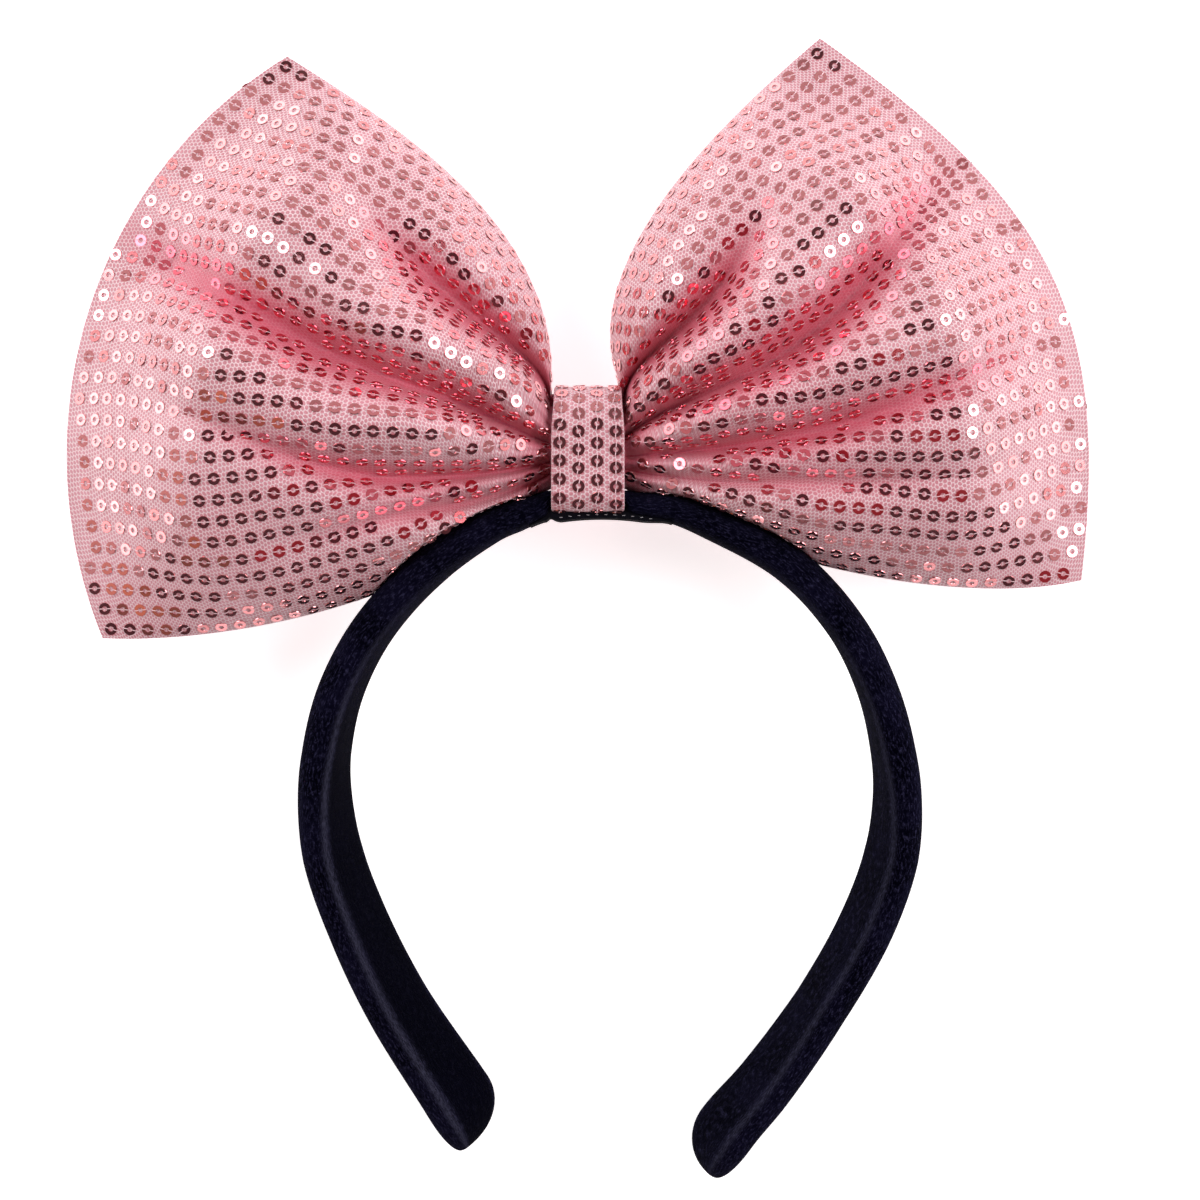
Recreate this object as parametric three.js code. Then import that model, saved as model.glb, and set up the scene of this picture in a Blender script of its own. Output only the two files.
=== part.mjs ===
// A sequinned bow on a velvet headband, lying on its back.
// Millimetres and degrees. +Z out of the bow's front, seen from which +X is to the right and +Y up.
// Lengths are laid out round the knot's centre, then the whole is set on its box's bottom centre.
import * as THREE from "three";

// Driving dimensions of the bow
const bow = {
  lobeLength: 117, // from the knot's centre to the far end of the left lobe
  frontPuff: 29, // height of the front above the bow's middle plane
  backPuff: 29, // depth of the back before it is pressed flat
  restHeight: 25, // height of the middle plane above what the bow lies on
  pressSoftness: 2, // how far the flattened back rounds into its sides
  swellEnd: 0.45, // share of a lobe over which it swells to its full height
  settle: 0.4, // share of its height that it loses from there to its outer end
  endRun: 0.27, // share of a lobe over which its outer end slopes down to the seam
  seamShare: 0.45, // share of that slope which is steepest at the seam, the rest is so at its middle
  sectionPower: 1.5, // 1 is an ellipse across a lobe, 2 a parabola
};
const foldForm = {
  middle: 1 / 3, // share of the lobe at which a fold's second place is given
  atKnot: 0.6, // share of its depth that a fold has at the knot
  opening: 0.25, // share of the lobe over which it opens to its whole depth
  fading: 0.4, // share of its own reach at which it starts to fade
  sharpness: 1.25, // 2 gives the valley of a bell curve, less a sharper one
  thinnest: 0.1, // share of the smooth form that the deepest fold leaves
  edgeGain: 2, // how fast folds deepen from the lobe's top and bottom edges
  endRun: 0.12, // share of the lobe over which they end at its outer edge
};
const waist = {
  height: 21.5, // across the gathered cloth inside the knot
  depth: 23, // from front to back
  rise: 1.85, // of its middle above the knot's centre
};

// Driving dimensions of the knot's wrap
const wrap = {
  width: 16.3,
  topWidth: 15.2,
  wall: 1.1,
  edgeRound: 0.5,
  topRadius: 8.5, // of the loop's inner corners over the waist
  bottomRadius: 3.2, // of the loop's inner corners under the headband
};

// Driving dimensions of the headband
const band = {
  armDrop: 154.5, // from the top of the centre line down to its lower end
  reach: 64.5, // from the arms' middle to either arm's centre line
  offset: 5, // of the arms' middle from the knot's centre, to the right
  thickness: 9,
  width: 21.5,
  pinch: 3.4, // thickness of the padding under the wrap
  pinchWidth: 18.5,
  pinchRun: 0.25, // how far the pinch reaches out of the wrap
  tipRound: 11, // length over which each tip rounds off
  tipLean: { left: 4.5, right: 2.7 }, // of each tip's very end, to the outside
  tipPower: 0.7, // below 1 a tip stays thick for longer than it stays wide
  flatness: 0.15, // share of the thickness by which the section's widest line lies inwards
};

// Powers of the cosine and sine that round the band's section: 1 is an ellipse, less is squarer
const sectionPowers = {
  outer: { thick: 0.9, wide: 0.8 },
  inner: { thick: 0.5, wide: 0.6 },
};
const strip = {
  length: 32,
  width: 17,
  thickness: 1.3, // under the wrap
  thinnest: 0.4, // where it lies on the band
  radius: 65, // of its underside's arc
  bevel: 0.15,
  shift: 3, // of its middle from the knot's centre, to the right
};

// Clearances between touching pieces
const clearance = 0.3;
const clothClearance = 0.6;

// How finely each piece is faceted
const facets = {
  across: 44, // over the front of a lobe
  crowding: 0.35, // how much closer together they are at its middle
  along: 22, // from the knot to a lobe's outer end
  straightFrom: 0.88, // share of a lobe past which they no longer follow the folds
  waistSteps: 2,
  bandSides: 14,
  loopSteps: 36,
  stripSteps: 32,
};
const bandStep = 5; // between the headband's sections
const tipSteps = [0.02, 0.1, 0.25, 0.5, 0.75, 1]; // of its sections in the round of a tip, as shares of it

// Handles of each lobe's outline: reach as a share of the lobe's length, and bearing from the knot
const outlines = {
  left: {
    side: -1,
    topNear: { reach: 0.42, bearing: 96 },
    topFar: { reach: 0.705, bearing: 119.5 },
    topCorner: { reach: 0.956, bearing: 127.4 },
    endUpper: { reach: 1.1, bearing: 151.5 },
    endLower: { reach: 1.104, bearing: 177.8 },
    bottomCorner: { reach: 1.005, bearing: 201.2 },
    bottomFar: { reach: 0.81, bearing: 207.6 },
    bottomNear: { reach: 0.435, bearing: 225 },
  },
  right: {
    side: 1,
    topNear: { reach: 0.345, bearing: 99 },
    topFar: { reach: 0.682, bearing: 68 },
    topCorner: { reach: 0.912, bearing: 60.6 },
    endUpper: { reach: 1.01, bearing: 28.5 },
    endLower: { reach: 1.051, bearing: 15.3 },
    bottomCorner: { reach: 0.985, bearing: -14.8 },
    bottomFar: { reach: 0.795, bearing: -22.4 },
    bottomNear: { reach: 0.412, bearing: -34 },
  },
};

// Folds that run out of the knot. Places across a lobe go from 0 at its top edge to 1 at its bottom edge,
// given at the knot, at a third of the lobe and where the fold ends. Width is a share across the lobe,
// depth a share of the puff and reach a share along the lobe, above 1 for one that the seam cuts off.
const frontFolds = {
  left: [
    { atKnot: 0.1, atThird: 0.23, atEnd: 0.16, width: 0.06, depth: 0.46, reach: 0.75 },
    { atKnot: 0.53, atThird: 0.48, atEnd: 0.335, width: 0.055, depth: 0.46, reach: 1.25 },
    { atKnot: 0.72, atThird: 0.72, atEnd: 0.6, width: 0.045, depth: 0.34, reach: 0.95 },
    { atKnot: 0.84, atThird: 0.82, atEnd: 0.86, width: 0.045, depth: 0.24, reach: 0.7 },
  ],
  right: [
    { atKnot: 0.16, atThird: 0.27, atEnd: 0.16, width: 0.06, depth: 0.46, reach: 0.75 },
    { atKnot: 0.45, atThird: 0.49, atEnd: 0.26, width: 0.06, depth: 0.48, reach: 1.15 },
    { atKnot: 0.66, atThird: 0.68, atEnd: 0.6, width: 0.05, depth: 0.38, reach: 1.1 },
    { atKnot: 0.8, atThird: 0.8, atEnd: 0.8, width: 0.045, depth: 0.2, reach: 0.95 },
  ],
};
const backFolds = [
  { atKnot: 0.25, atThird: 0.3, atEnd: 0.26, width: 0.06, depth: 0.3, reach: 0.7 },
  { atKnot: 0.6, atThird: 0.56, atEnd: 0.5, width: 0.07, depth: 0.34, reach: 0.75 },
];

// Centre line of each arm from the wrap to its tip, a row for each section: out from the arms' middle as
// a share of the reach, down as a share of the arm's drop, thickness and width as shares of the band's,
// and the turn of the section about the centre line in degrees.
const arms = {
  left: [
    { out: 0.245, down: 0.0124, thick: 0.66, wide: 0.95, twist: 0 },
    { out: 0.33, down: 0.0259, thick: 0.8, wide: 1, twist: 0 },
    { out: 0.41, down: 0.0393, thick: 0.83, wide: 1, twist: 0 },
    { out: 0.633, down: 0.0997, thick: 0.98, wide: 1, twist: 2 },
    { out: 0.836, down: 0.1907, thick: 1, wide: 1, twist: 4 },
    { out: 0.956, down: 0.2851, thick: 1, wide: 1, twist: 7 },
    { out: 1.009, down: 0.3775, thick: 1, wide: 1, twist: 10 },
    { out: 1.017, down: 0.4434, thick: 1, wide: 1, twist: 15 },
    { out: 0.992, down: 0.528, thick: 1, wide: 0.98, twist: 22 },
    { out: 0.904, down: 0.6341, thick: 1, wide: 0.96, twist: 25 },
    { out: 0.766, down: 0.7541, thick: 1, wide: 0.94, twist: 30 },
    { out: 0.56, down: 0.8894, thick: 1, wide: 0.965, twist: 35 },
    { out: 0.461, down: 0.9556, thick: 1, wide: 1, twist: 36 },
  ],
  right: [
    { out: 0.076, down: 0.0071, thick: 0.59, wide: 0.95, twist: 0 },
    { out: 0.217, down: 0.0159, thick: 0.7, wide: 1, twist: 0 },
    { out: 0.361, down: 0.0381, thick: 0.81, wide: 1, twist: 0 },
    { out: 0.637, down: 0.0997, thick: 0.94, wide: 1, twist: 0 },
    { out: 0.836, down: 0.1907, thick: 0.95, wide: 1, twist: 0 },
    { out: 0.949, down: 0.2851, thick: 0.97, wide: 1, twist: 2 },
    { out: 1.006, down: 0.3775, thick: 1, wide: 1, twist: 5 },
    { out: 1.022, down: 0.4434, thick: 1, wide: 1, twist: 9 },
    { out: 1.005, down: 0.528, thick: 1, wide: 0.98, twist: 15 },
    { out: 0.918, down: 0.6341, thick: 1, wide: 0.96, twist: 17 },
    { out: 0.759, down: 0.7541, thick: 1, wide: 0.9, twist: 18 },
    { out: 0.556, down: 0.876, thick: 1, wide: 0.89, twist: 24 },
    { out: 0.44, down: 0.9334, thick: 1, wide: 0.93, twist: 25 },
    { out: 0.327, down: 1, thick: 1, wide: 0.94, twist: 27 },
  ],
};

// Heights that the pieces share, from the knot's centre
const waistTop = waist.rise + waist.height / 2;
const waistBottom = waist.rise - waist.height / 2;
const crownTop = waistBottom - clearance;
const crownMiddle = crownTop - band.pinch / 2;
const crownBottom = crownTop - band.pinch;
const wrapTop = waistTop + clearance;
const wrapBottom = crownBottom - clearance;
const wrapDepth = Math.max(waist.depth, band.pinchWidth) + 2 * clearance;
const lobeStart = wrap.width / 2 + clearance;

const colours = { satin: 0xe8a9b4, velvet: 0x12111f, ribbon: 0x0b0b10 };

// Mesh helpers

function meshFrom(name, points, triangles, colour, roughness) {
  const geometry = new THREE.BufferGeometry();
  const coordinates = points.flatMap((point) => [point.x, point.y, point.z]);
  geometry.setAttribute("position", new THREE.Float32BufferAttribute(coordinates, 3));
  geometry.setIndex(triangles);
  geometry.computeVertexNormals();
  const material = new THREE.MeshStandardMaterial({ color: colour, roughness, metalness: 0 });
  const mesh = new THREE.Mesh(geometry, material);
  mesh.name = name;
  return mesh;
}

// Joins equal closed rings, in order, by quads that are split into triangles
function bridge(rings, closeLoop = false) {
  const sides = rings[0].length;
  const points = rings.flat();
  const triangles = [];
  const last = closeLoop ? rings.length : rings.length - 1;
  for (let i = 0; i < last; i++) {
    const here = i * sides;
    const next = ((i + 1) % rings.length) * sides;
    for (let j = 0; j < sides; j++) {
      const k = (j + 1) % sides;
      triangles.push(here + j, next + k, here + k);
      triangles.push(here + j, next + j, next + k);
    }
  }
  return { points, triangles };
}

// Closes a bridged tube with a fan of triangles at either end
function capEnds(tube, sides, startPoint, endPoint) {
  const start = tube.points.push(startPoint) - 1;
  const end = tube.points.push(endPoint) - 1;
  const lastRing = start - sides;
  for (let j = 0; j < sides; j++) {
    const k = (j + 1) % sides;
    tube.triangles.push(start, j, k);
    tube.triangles.push(end, lastRing + k, lastRing + j);
  }
}

const smoothStep = (x) => THREE.MathUtils.smoothstep(x, 0, 1);
const signedPower = (x, power) => Math.sign(x) * Math.abs(x) ** power;

// Headband

const sharePoint = (row, side) =>
  new THREE.Vector3(
    band.offset + side * row.out * band.reach,
    crownMiddle - row.down * band.armDrop,
    0,
  );
const shareSize = (row) => ({
  thickness: row.thick * band.thickness,
  width: row.wide * band.width,
  twist: row.twist,
});

// Centre line and section sizes of the whole band, from the left tip over the crown to the right tip
function bandCurves() {
  const pinched = { thickness: band.pinch, width: band.pinchWidth, twist: 0 };
  const left = arms.left.map((row) => sharePoint(row, -1)).reverse();
  const right = arms.right.map((row) => sharePoint(row, 1));
  const pinchEnd = lobeStart + band.pinchRun;
  const crownPlaces = [-pinchEnd, -lobeStart, lobeStart, pinchEnd];
  const crown = crownPlaces.map((x) => new THREE.Vector3(x, crownMiddle, 0));
  const path = new THREE.CatmullRomCurve3([...left, ...crown, ...right]);
  const [leftSizes, rightSizes] = [arms.left.map(shareSize).reverse(), arms.right.map(shareSize)];
  const rows = [...leftSizes, ...crown.map(() => pinched), ...rightSizes];
  return { path, rows };
}
const headbandCurves = bandCurves();

// Section sizes between two rows
function sizesAt(t) {
  const place = t * (headbandCurves.rows.length - 1);
  const index = Math.min(Math.floor(place), headbandCurves.rows.length - 2);
  const [from, to] = headbandCurves.rows.slice(index, index + 2);
  const between = (key) => THREE.MathUtils.lerp(from[key], to[key], place - index);
  return { thickness: between("thickness"), width: between("width"), twist: between("twist") };
}

const onLeftArm = (point) => point.x < band.offset;
const leanAt = (point) => (onLeftArm(point) ? band.tipLean.left : band.tipLean.right);

// The point in which a tip ends
function tipEnd(t) {
  const { path } = headbandCurves;
  const tangent = path.getTangent(t);
  const end = path.getPoint(t);
  return end.addScaledVector(new THREE.Vector3(-tangent.y, tangent.x, 0), leanAt(end));
}

// One D section: a full outer half and a flatter inner half with round corners
function bandSection(t) {
  const { path } = headbandCurves;
  const centre = path.getPoint(t);
  const tangent = path.getTangent(t);
  const outward = new THREE.Vector3(-tangent.y, tangent.x, 0);
  const { thickness, width, twist } = sizesAt(t);
  const toTip = Math.min(centre.distanceTo(path.points[0]), centre.distanceTo(path.points.at(-1)));
  const inTip = Math.max(0, 1 - toTip / band.tipRound);
  const tipScale = Math.sqrt(Math.max(0, 1 - inTip * inTip));
  const lean = (1 - tipScale) * leanAt(centre);
  const turn = THREE.MathUtils.degToRad(twist);
  const ring = [];
  for (let j = 0; j < facets.bandSides; j++) {
    const angle = (2 * Math.PI * (j + 0.5)) / facets.bandSides;
    const outer = Math.cos(angle) > 0;
    const reach = outer ? 0.5 + band.flatness : 0.5 - band.flatness;
    const powers = outer ? sectionPowers.outer : sectionPowers.inner;
    const along = signedPower(Math.cos(angle), powers.thick) * reach;
    const across = signedPower(Math.sin(angle), powers.wide) / 2;
    const thick = (along - band.flatness) * thickness * tipScale ** band.tipPower;
    const wide = across * width * tipScale;
    const point = centre.clone();
    point.addScaledVector(outward, lean + thick * Math.cos(turn) + wide * Math.sin(turn));
    point.z += wide * Math.cos(turn) - thick * Math.sin(turn);
    ring.push(point);
  }
  return { centre, outward, ring };
}

// Places along the centre line: at each row, evenly between rows, and closer together in the tips' rounds
function bandStations() {
  const { points } = headbandCurves.path;
  const intervals = points.length - 1;
  const stations = [];
  for (let i = 0; i < intervals; i++) {
    const run = points[i].distanceTo(points[i + 1]);
    const count = Math.max(1, Math.round(run / bandStep));
    for (let k = 0; k < count; k++) stations.push((i + k / count) / intervals);
  }
  const tips = [
    [points[0].distanceTo(points[1]), (share) => share],
    [points[intervals].distanceTo(points[intervals - 1]), (share) => 1 - share],
  ];
  const firstTip = band.tipRound / tips[0][0] / intervals;
  const lastTip = 1 - band.tipRound / tips[1][0] / intervals;
  const between = stations.filter((t) => t > firstTip && t < lastTip);
  const rounds = tips.flatMap(([run, place]) =>
    tipSteps.map((step) => place((step * band.tipRound) / run / intervals)),
  );
  return [...between, ...rounds].sort((a, b) => a - b);
}

const belowCrown = (section) => Math.max(0, crownMiddle - section.centre.y);

// How steeply an arm sinks from the crown, so that its tip just touches what the bow lies on
function armSlope(arm) {
  const lower = arm.filter((section) => belowCrown(section) > band.armDrop / 2);
  const slopes = lower.map((section) => {
    const lowest = Math.min(...section.ring.map((point) => point.z));
    return (bow.restHeight + lowest) / belowCrown(section);
  });
  return Math.min(...slopes);
}

function buildHeadband() {
  const sections = bandStations().reverse().map(bandSection);
  const ends = [tipEnd(1), tipEnd(0)];
  for (const onArm of [onLeftArm, (point) => !onLeftArm(point)]) {
    const arm = sections.filter((section) => onArm(section.centre));
    const slope = armSlope(arm);
    for (const section of arm) {
      for (const point of section.ring) point.z += bow.restHeight - slope * belowCrown(section);
    }
    for (const point of ends.filter(onArm)) {
      point.z = bow.restHeight - slope * (crownMiddle - point.y);
    }
  }
  const tube = bridge(sections.map((section) => section.ring));
  capEnds(tube, facets.bandSides, ...ends);
  return meshFrom("headband", tube.points, tube.triangles, colours.velvet, 0.95);
}

// Places along the band's outer edge, which the bow's lower edge lies against
const bandEdge = bandStations().map((share) => {
  const { centre, outward, ring } = bandSection(share);
  const reach = Math.max(...ring.map((point) => point.clone().sub(centre).dot(outward)));
  return { centre, outward, reach };
});

// Moves a point of the bow out of the headband's way, seen from the front
function clearOfBand(point) {
  let nearest = null;
  let nearestDistance = Infinity;
  for (const edge of bandEdge) {
    const distance = Math.hypot(point.x - edge.centre.x, point.y - edge.centre.y);
    if (distance < nearestDistance) {
      nearest = edge;
      nearestDistance = distance;
    }
  }
  const offset = point.clone().sub(nearest.centre);
  offset.z = 0;
  const missing = nearest.reach + clothClearance - offset.dot(nearest.outward);
  if (missing > 0) point.addScaledVector(nearest.outward, missing);
  return point;
}

// Bow

const handle = ({ reach, bearing }) => {
  const angle = THREE.MathUtils.degToRad(bearing);
  return new THREE.Vector2(Math.cos(angle), Math.sin(angle)).multiplyScalar(reach * bow.lobeLength);
};

// The four edges of a lobe, seen from the front
function lobeEdges(outline) {
  const knotTop = new THREE.Vector2(outline.side * lobeStart, waistTop);
  const knotBottom = new THREE.Vector2(outline.side * lobeStart, waistBottom);
  const topCorner = handle(outline.topCorner);
  const bottomCorner = handle(outline.bottomCorner);
  const edge = (from, near, far, to) =>
    new THREE.CubicBezierCurve(from, handle(near), handle(far), to);
  return {
    top: edge(knotTop, outline.topNear, outline.topFar, topCorner),
    bottom: edge(knotBottom, outline.bottomNear, outline.bottomFar, bottomCorner),
    end: edge(topCorner, outline.endUpper, outline.endLower, bottomCorner),
    knot: new THREE.LineCurve(knotTop, knotBottom),
  };
}

// A place on a lobe, seen from the front: along from the knot to its outer end, across from top to bottom
function lobePlace(edges, along, across) {
  const top = edges.top.getPointAt(along);
  const bottom = edges.bottom.getPointAt(along);
  const knot = edges.knot.getPointAt(across);
  const end = edges.end.getPointAt(across);
  const knotCorner = edges.knot.v1.clone().lerp(edges.knot.v2, across);
  const endCorner = edges.end.v0.clone().lerp(edges.end.v3, across);
  return top
    .lerp(bottom, across)
    .add(knot.lerp(end, along))
    .sub(knotCorner.lerp(endCorner, along));
}

// Height of the lobe's smooth form at its middle, as a share of its puff
function swell(along, atKnot) {
  const rise = Math.sin((Math.PI / 2) * Math.min(1, along / bow.swellEnd));
  const beyond = Math.max(0, (along - bow.swellEnd) / (1 - bow.swellEnd));
  const settled = 1 - bow.settle * beyond * beyond;
  const fromEnd = Math.min(1, (1 - along) / bow.endRun);
  const end = THREE.MathUtils.lerp(smoothStep(fromEnd), Math.sin((Math.PI / 2) * fromEnd), bow.seamShare);
  return (atKnot + (1 - atKnot) * rise) * settled * end;
}

// Where a fold runs, across the lobe
function foldPlace(fold, along) {
  const { middle } = foldForm;
  if (along < middle) {
    return THREE.MathUtils.lerp(fold.atKnot, fold.atThird, Math.sin((Math.PI / 2) * (along / middle)));
  }
  const beyond = smoothStep((along - middle) / (fold.reach - middle));
  return THREE.MathUtils.lerp(fold.atThird, fold.atEnd, beyond);
}

// How deep the folds are at a place, as a share of the puff
function foldDepth(folds, along, across) {
  let depth = 0;
  for (const fold of folds) {
    const opened = THREE.MathUtils.lerp(foldForm.atKnot, 1, smoothStep(along / foldForm.opening));
    const faded = 1 - smoothStep((along / fold.reach - foldForm.fading) / (1 - foldForm.fading));
    const away = Math.abs(across - foldPlace(fold, along)) / fold.width;
    depth += fold.depth * opened * faded * Math.exp(-(away ** foldForm.sharpness));
  }
  return depth;
}

// Presses what would go below the surface that the bow lies on into a flat face
function pressFlat(z) {
  const soft = bow.pressSoftness;
  if (z >= soft) return z;
  return z <= -soft ? 0 : (z + soft) ** 2 / (4 * soft);
}

// Places of the facets across a lobe where nothing is folded, closer together at its middle
const plainColumns = Array.from({ length: facets.across + 1 }, (_, j) => {
  const turn = (Math.PI * j) / facets.across;
  return (1 - Math.cos(turn + (facets.crowding / 2) * Math.sin(2 * turn))) / 2;
});

// Places of the facets across a lobe, with one that runs along the bottom of each fold
function columnsAt(folds, along) {
  const straight = smoothStep((along - facets.straightFrom) / (1 - facets.straightFrom));
  const marks = [{ plain: 0, place: 0 }];
  for (const fold of folds) {
    const plain = plainColumns.find((column) => column > fold.atThird);
    marks.push({ plain, place: THREE.MathUtils.lerp(foldPlace(fold, along), plain, straight) });
  }
  marks.push({ plain: 1, place: 1 });
  return plainColumns.map((column) => {
    const next = Math.max(1, marks.findIndex((mark) => mark.plain >= column));
    const [from, to] = [marks[next - 1], marks[next]];
    return THREE.MathUtils.mapLinear(column, from.plain, to.plain, from.place, to.place);
  });
}

// One point of a lobe's skin
function bowPoint(edges, folds, along, across, front) {
  const puff = front ? bow.frontPuff : bow.backPuff;
  const round = (2 * Math.sqrt(across * (1 - across))) ** bow.sectionPower;
  const smooth = swell(along, waist.depth / 2 / puff) * round;
  const edgeFade = Math.min(1, foldForm.edgeGain * round) * Math.min(1, (1 - along) / foldForm.endRun);
  const folded = smooth - foldDepth(folds, along, across) * edgeFade;
  const height = puff * Math.max(foldForm.thinnest * smooth, folded);
  const place = lobePlace(edges, along, across);
  const z = front ? bow.restHeight + height : pressFlat(bow.restHeight - height);
  return clearOfBand(new THREE.Vector3(place.x, place.y, z));
}

// One ring round a lobe: over the front from the top edge to the bottom edge, and back behind
function lobeRing(edges, folds, along) {
  const face = (ofFolds, front) =>
    columnsAt(ofFolds, along).map((across) => bowPoint(edges, ofFolds, along, across, front));
  const back = face(backFolds, false).slice(1, -1);
  return [...face(folds, true), ...back.reverse()];
}

// Shares along a lobe, closer together where its outer end rounds off
const lobeStations = Array.from({ length: facets.along }, (_, i) => {
  const turn = (Math.PI / 2) * (i / facets.along);
  return Math.sin(turn);
});

function lobeRings(side) {
  const edges = lobeEdges(outlines[side]);
  const rings = lobeStations.map((along) => lobeRing(edges, frontFolds[side], along));
  const end = lobeRing(edges, frontFolds[side], 1).slice(0, facets.across + 1);
  return { rings, end };
}

// Joins the last ring of a lobe to the line where its front meets its back
function closeLobe(points, triangles, ringStart, end, flip) {
  const endStart = points.length;
  points.push(...end);
  const sides = 2 * facets.across;
  const onEnd = (j) => endStart + (j <= facets.across ? j : sides - j);
  for (let j = 0; j < sides; j++) {
    const k = (j + 1) % sides;
    const quad = [ringStart + j, ringStart + k, onEnd(k), onEnd(j)];
    const faces = [
      [quad[0], quad[1], quad[2]],
      [quad[0], quad[2], quad[3]],
    ];
    for (const [a, b, c] of faces) {
      if (b === c || a === c || a === b) continue;
      if (flip) triangles.push(a, c, b);
      else triangles.push(a, b, c);
    }
  }
}

function buildBow() {
  const left = lobeRings("left");
  const right = lobeRings("right");
  const waistRings = [];
  for (let i = 1; i <= facets.waistSteps; i++) {
    const share = i / (facets.waistSteps + 1);
    waistRings.push(right.rings[0].map((point, j) => point.clone().lerp(left.rings[0][j], share)));
  }
  const rings = [...right.rings.slice().reverse(), ...waistRings, ...left.rings];
  const { points, triangles } = bridge(rings);
  const lastRing = (rings.length - 1) * rings[0].length;
  closeLobe(points, triangles, 0, right.end, false);
  closeLobe(points, triangles, lastRing, left.end, true);
  return meshFrom("bow", points, triangles, colours.satin, 0.5);
}

// Knot's wrap

// A place on the loop's inner outline, seen from the side, or on one that lies outside it by the offset
function loopPoint(share, offset) {
  const { topRadius, bottomRadius } = wrap;
  const half = wrapDepth / 2;
  const quarter = Math.PI / 2;
  const path = new THREE.Path();
  const corner = (side, y, radius, start) => {
    const centre = side * (half - radius);
    path.absarc(centre, y, radius + offset, start, start - quarter, true);
  };
  path.moveTo(-half - offset, (wrapTop + wrapBottom) / 2);
  corner(-1, wrapTop - topRadius, topRadius, 2 * quarter);
  corner(1, wrapTop - topRadius, topRadius, quarter);
  corner(1, wrapBottom + bottomRadius, bottomRadius, 0);
  corner(-1, wrapBottom + bottomRadius, bottomRadius, -quarter);
  path.closePath();
  return path.getPointAt(share);
}

// A flat band with rounded edges, bent into the loop and a little narrower at its top
function buildWrap() {
  const { wall, edgeRound } = wrap;
  const half = 0.5;
  const rounded = half - edgeRound / wrap.width;
  const section = [
    { across: -half, offset: edgeRound },
    { across: -half, offset: wall - edgeRound },
    { across: -rounded, offset: wall },
    { across: 0, offset: wall },
    { across: rounded, offset: wall },
    { across: half, offset: wall - edgeRound },
    { across: half, offset: edgeRound },
    { across: rounded, offset: 0 },
    { across: 0, offset: 0 },
    { across: -rounded, offset: 0 },
  ];
  const wrapPoint = (share, { across, offset }) => {
    const { x: z, y } = loopPoint(share, offset);
    const narrowing = smoothStep((y - waist.rise) / (waistTop - waist.rise));
    const width = THREE.MathUtils.lerp(wrap.width, wrap.topWidth, narrowing);
    return new THREE.Vector3(across * width, y, bow.restHeight + z);
  };
  const shares = Array.from({ length: facets.loopSteps }, (_, i) => i / facets.loopSteps);
  const rings = shares.map((share) => section.map((corner) => wrapPoint(share, corner)));
  const { points, triangles } = bridge(rings, true);
  return meshFrom("knot_wrap", points, triangles, colours.satin, 0.5);
}

// Lining strip on the crown's inner face

// Lowest height of the band's inner face within a step of a place along X, near the crown
function bandInnerHeight(x, step) {
  const inner = bandStations().map((share) => {
    const { centre, outward, ring } = bandSection(share);
    const inwards = (point) => point.clone().sub(centre).dot(outward);
    return ring.reduce((best, point) => (inwards(point) < inwards(best) ? point : best));
  });
  const crown = inner.filter((point) => point.y > crownMiddle - band.reach / 2);
  const heights = crown.slice(1).map((to, i) => {
    const from = crown[i];
    const spans = Math.min(from.x, to.x) <= x && Math.max(from.x, to.x) >= x;
    return spans ? THREE.MathUtils.mapLinear(x, from.x, to.x, from.y, to.y) : Infinity;
  });
  const near = crown.filter((point) => Math.abs(point.x - x) < step);
  return Math.min(...heights, ...near.map((point) => point.y));
}

function buildStrip() {
  const underWrap = wrapBottom - wrap.wall - clearance;
  const { bevel, width } = strip;
  const step = strip.length / facets.stripSteps;
  const rings = [];
  for (let i = 0; i <= facets.stripSteps; i++) {
    const x = strip.shift + strip.length * (i / facets.stripSteps - 0.5);
    const top = Math.min(underWrap, bandInnerHeight(x, step) - clearance);
    const arc = underWrap - strip.thickness - (x - strip.shift) ** 2 / (2 * strip.radius);
    const thickness = Math.max(strip.thinnest, top - arc);
    const at = (depth, z) => new THREE.Vector3(x, top - depth, bow.restHeight + z);
    const edge = width / 2;
    rings.push([
      at(0, bevel - edge),
      at(bevel, -edge),
      at(thickness, -edge),
      at(thickness, edge),
      at(bevel, edge),
      at(0, edge - bevel),
    ]);
  }
  const tube = bridge(rings);
  const middle = (ring) => ring[0].clone().lerp(ring[3], 0.5);
  capEnds(tube, rings[0].length, middle(rings[0]), middle(rings[rings.length - 1]));
  return meshFrom("lining_strip", tube.points, tube.triangles, colours.ribbon, 0.7);
}

// Assembly

function assemble() {
  const assembly = new THREE.Group();
  assembly.add(buildBow(), buildWrap(), buildHeadband(), buildStrip());
  const box = new THREE.Box3().setFromObject(assembly, true);
  assembly.position.set(-(box.min.x + box.max.x) / 2, -(box.min.y + box.max.y) / 2, -box.min.z);

  const part = new THREE.Group();
  part.add(assembly);
  return part;
}

export default assemble();
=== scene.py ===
# Looks of a sequinned bow on a velvet headband, lying on its back.
# Shapes are laid out in millimetres round the knot's centre, as the solids are, and placed in metres.
import math

import bpy
import numpy as np
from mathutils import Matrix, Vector
from mathutils.kdtree import KDTree


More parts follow.
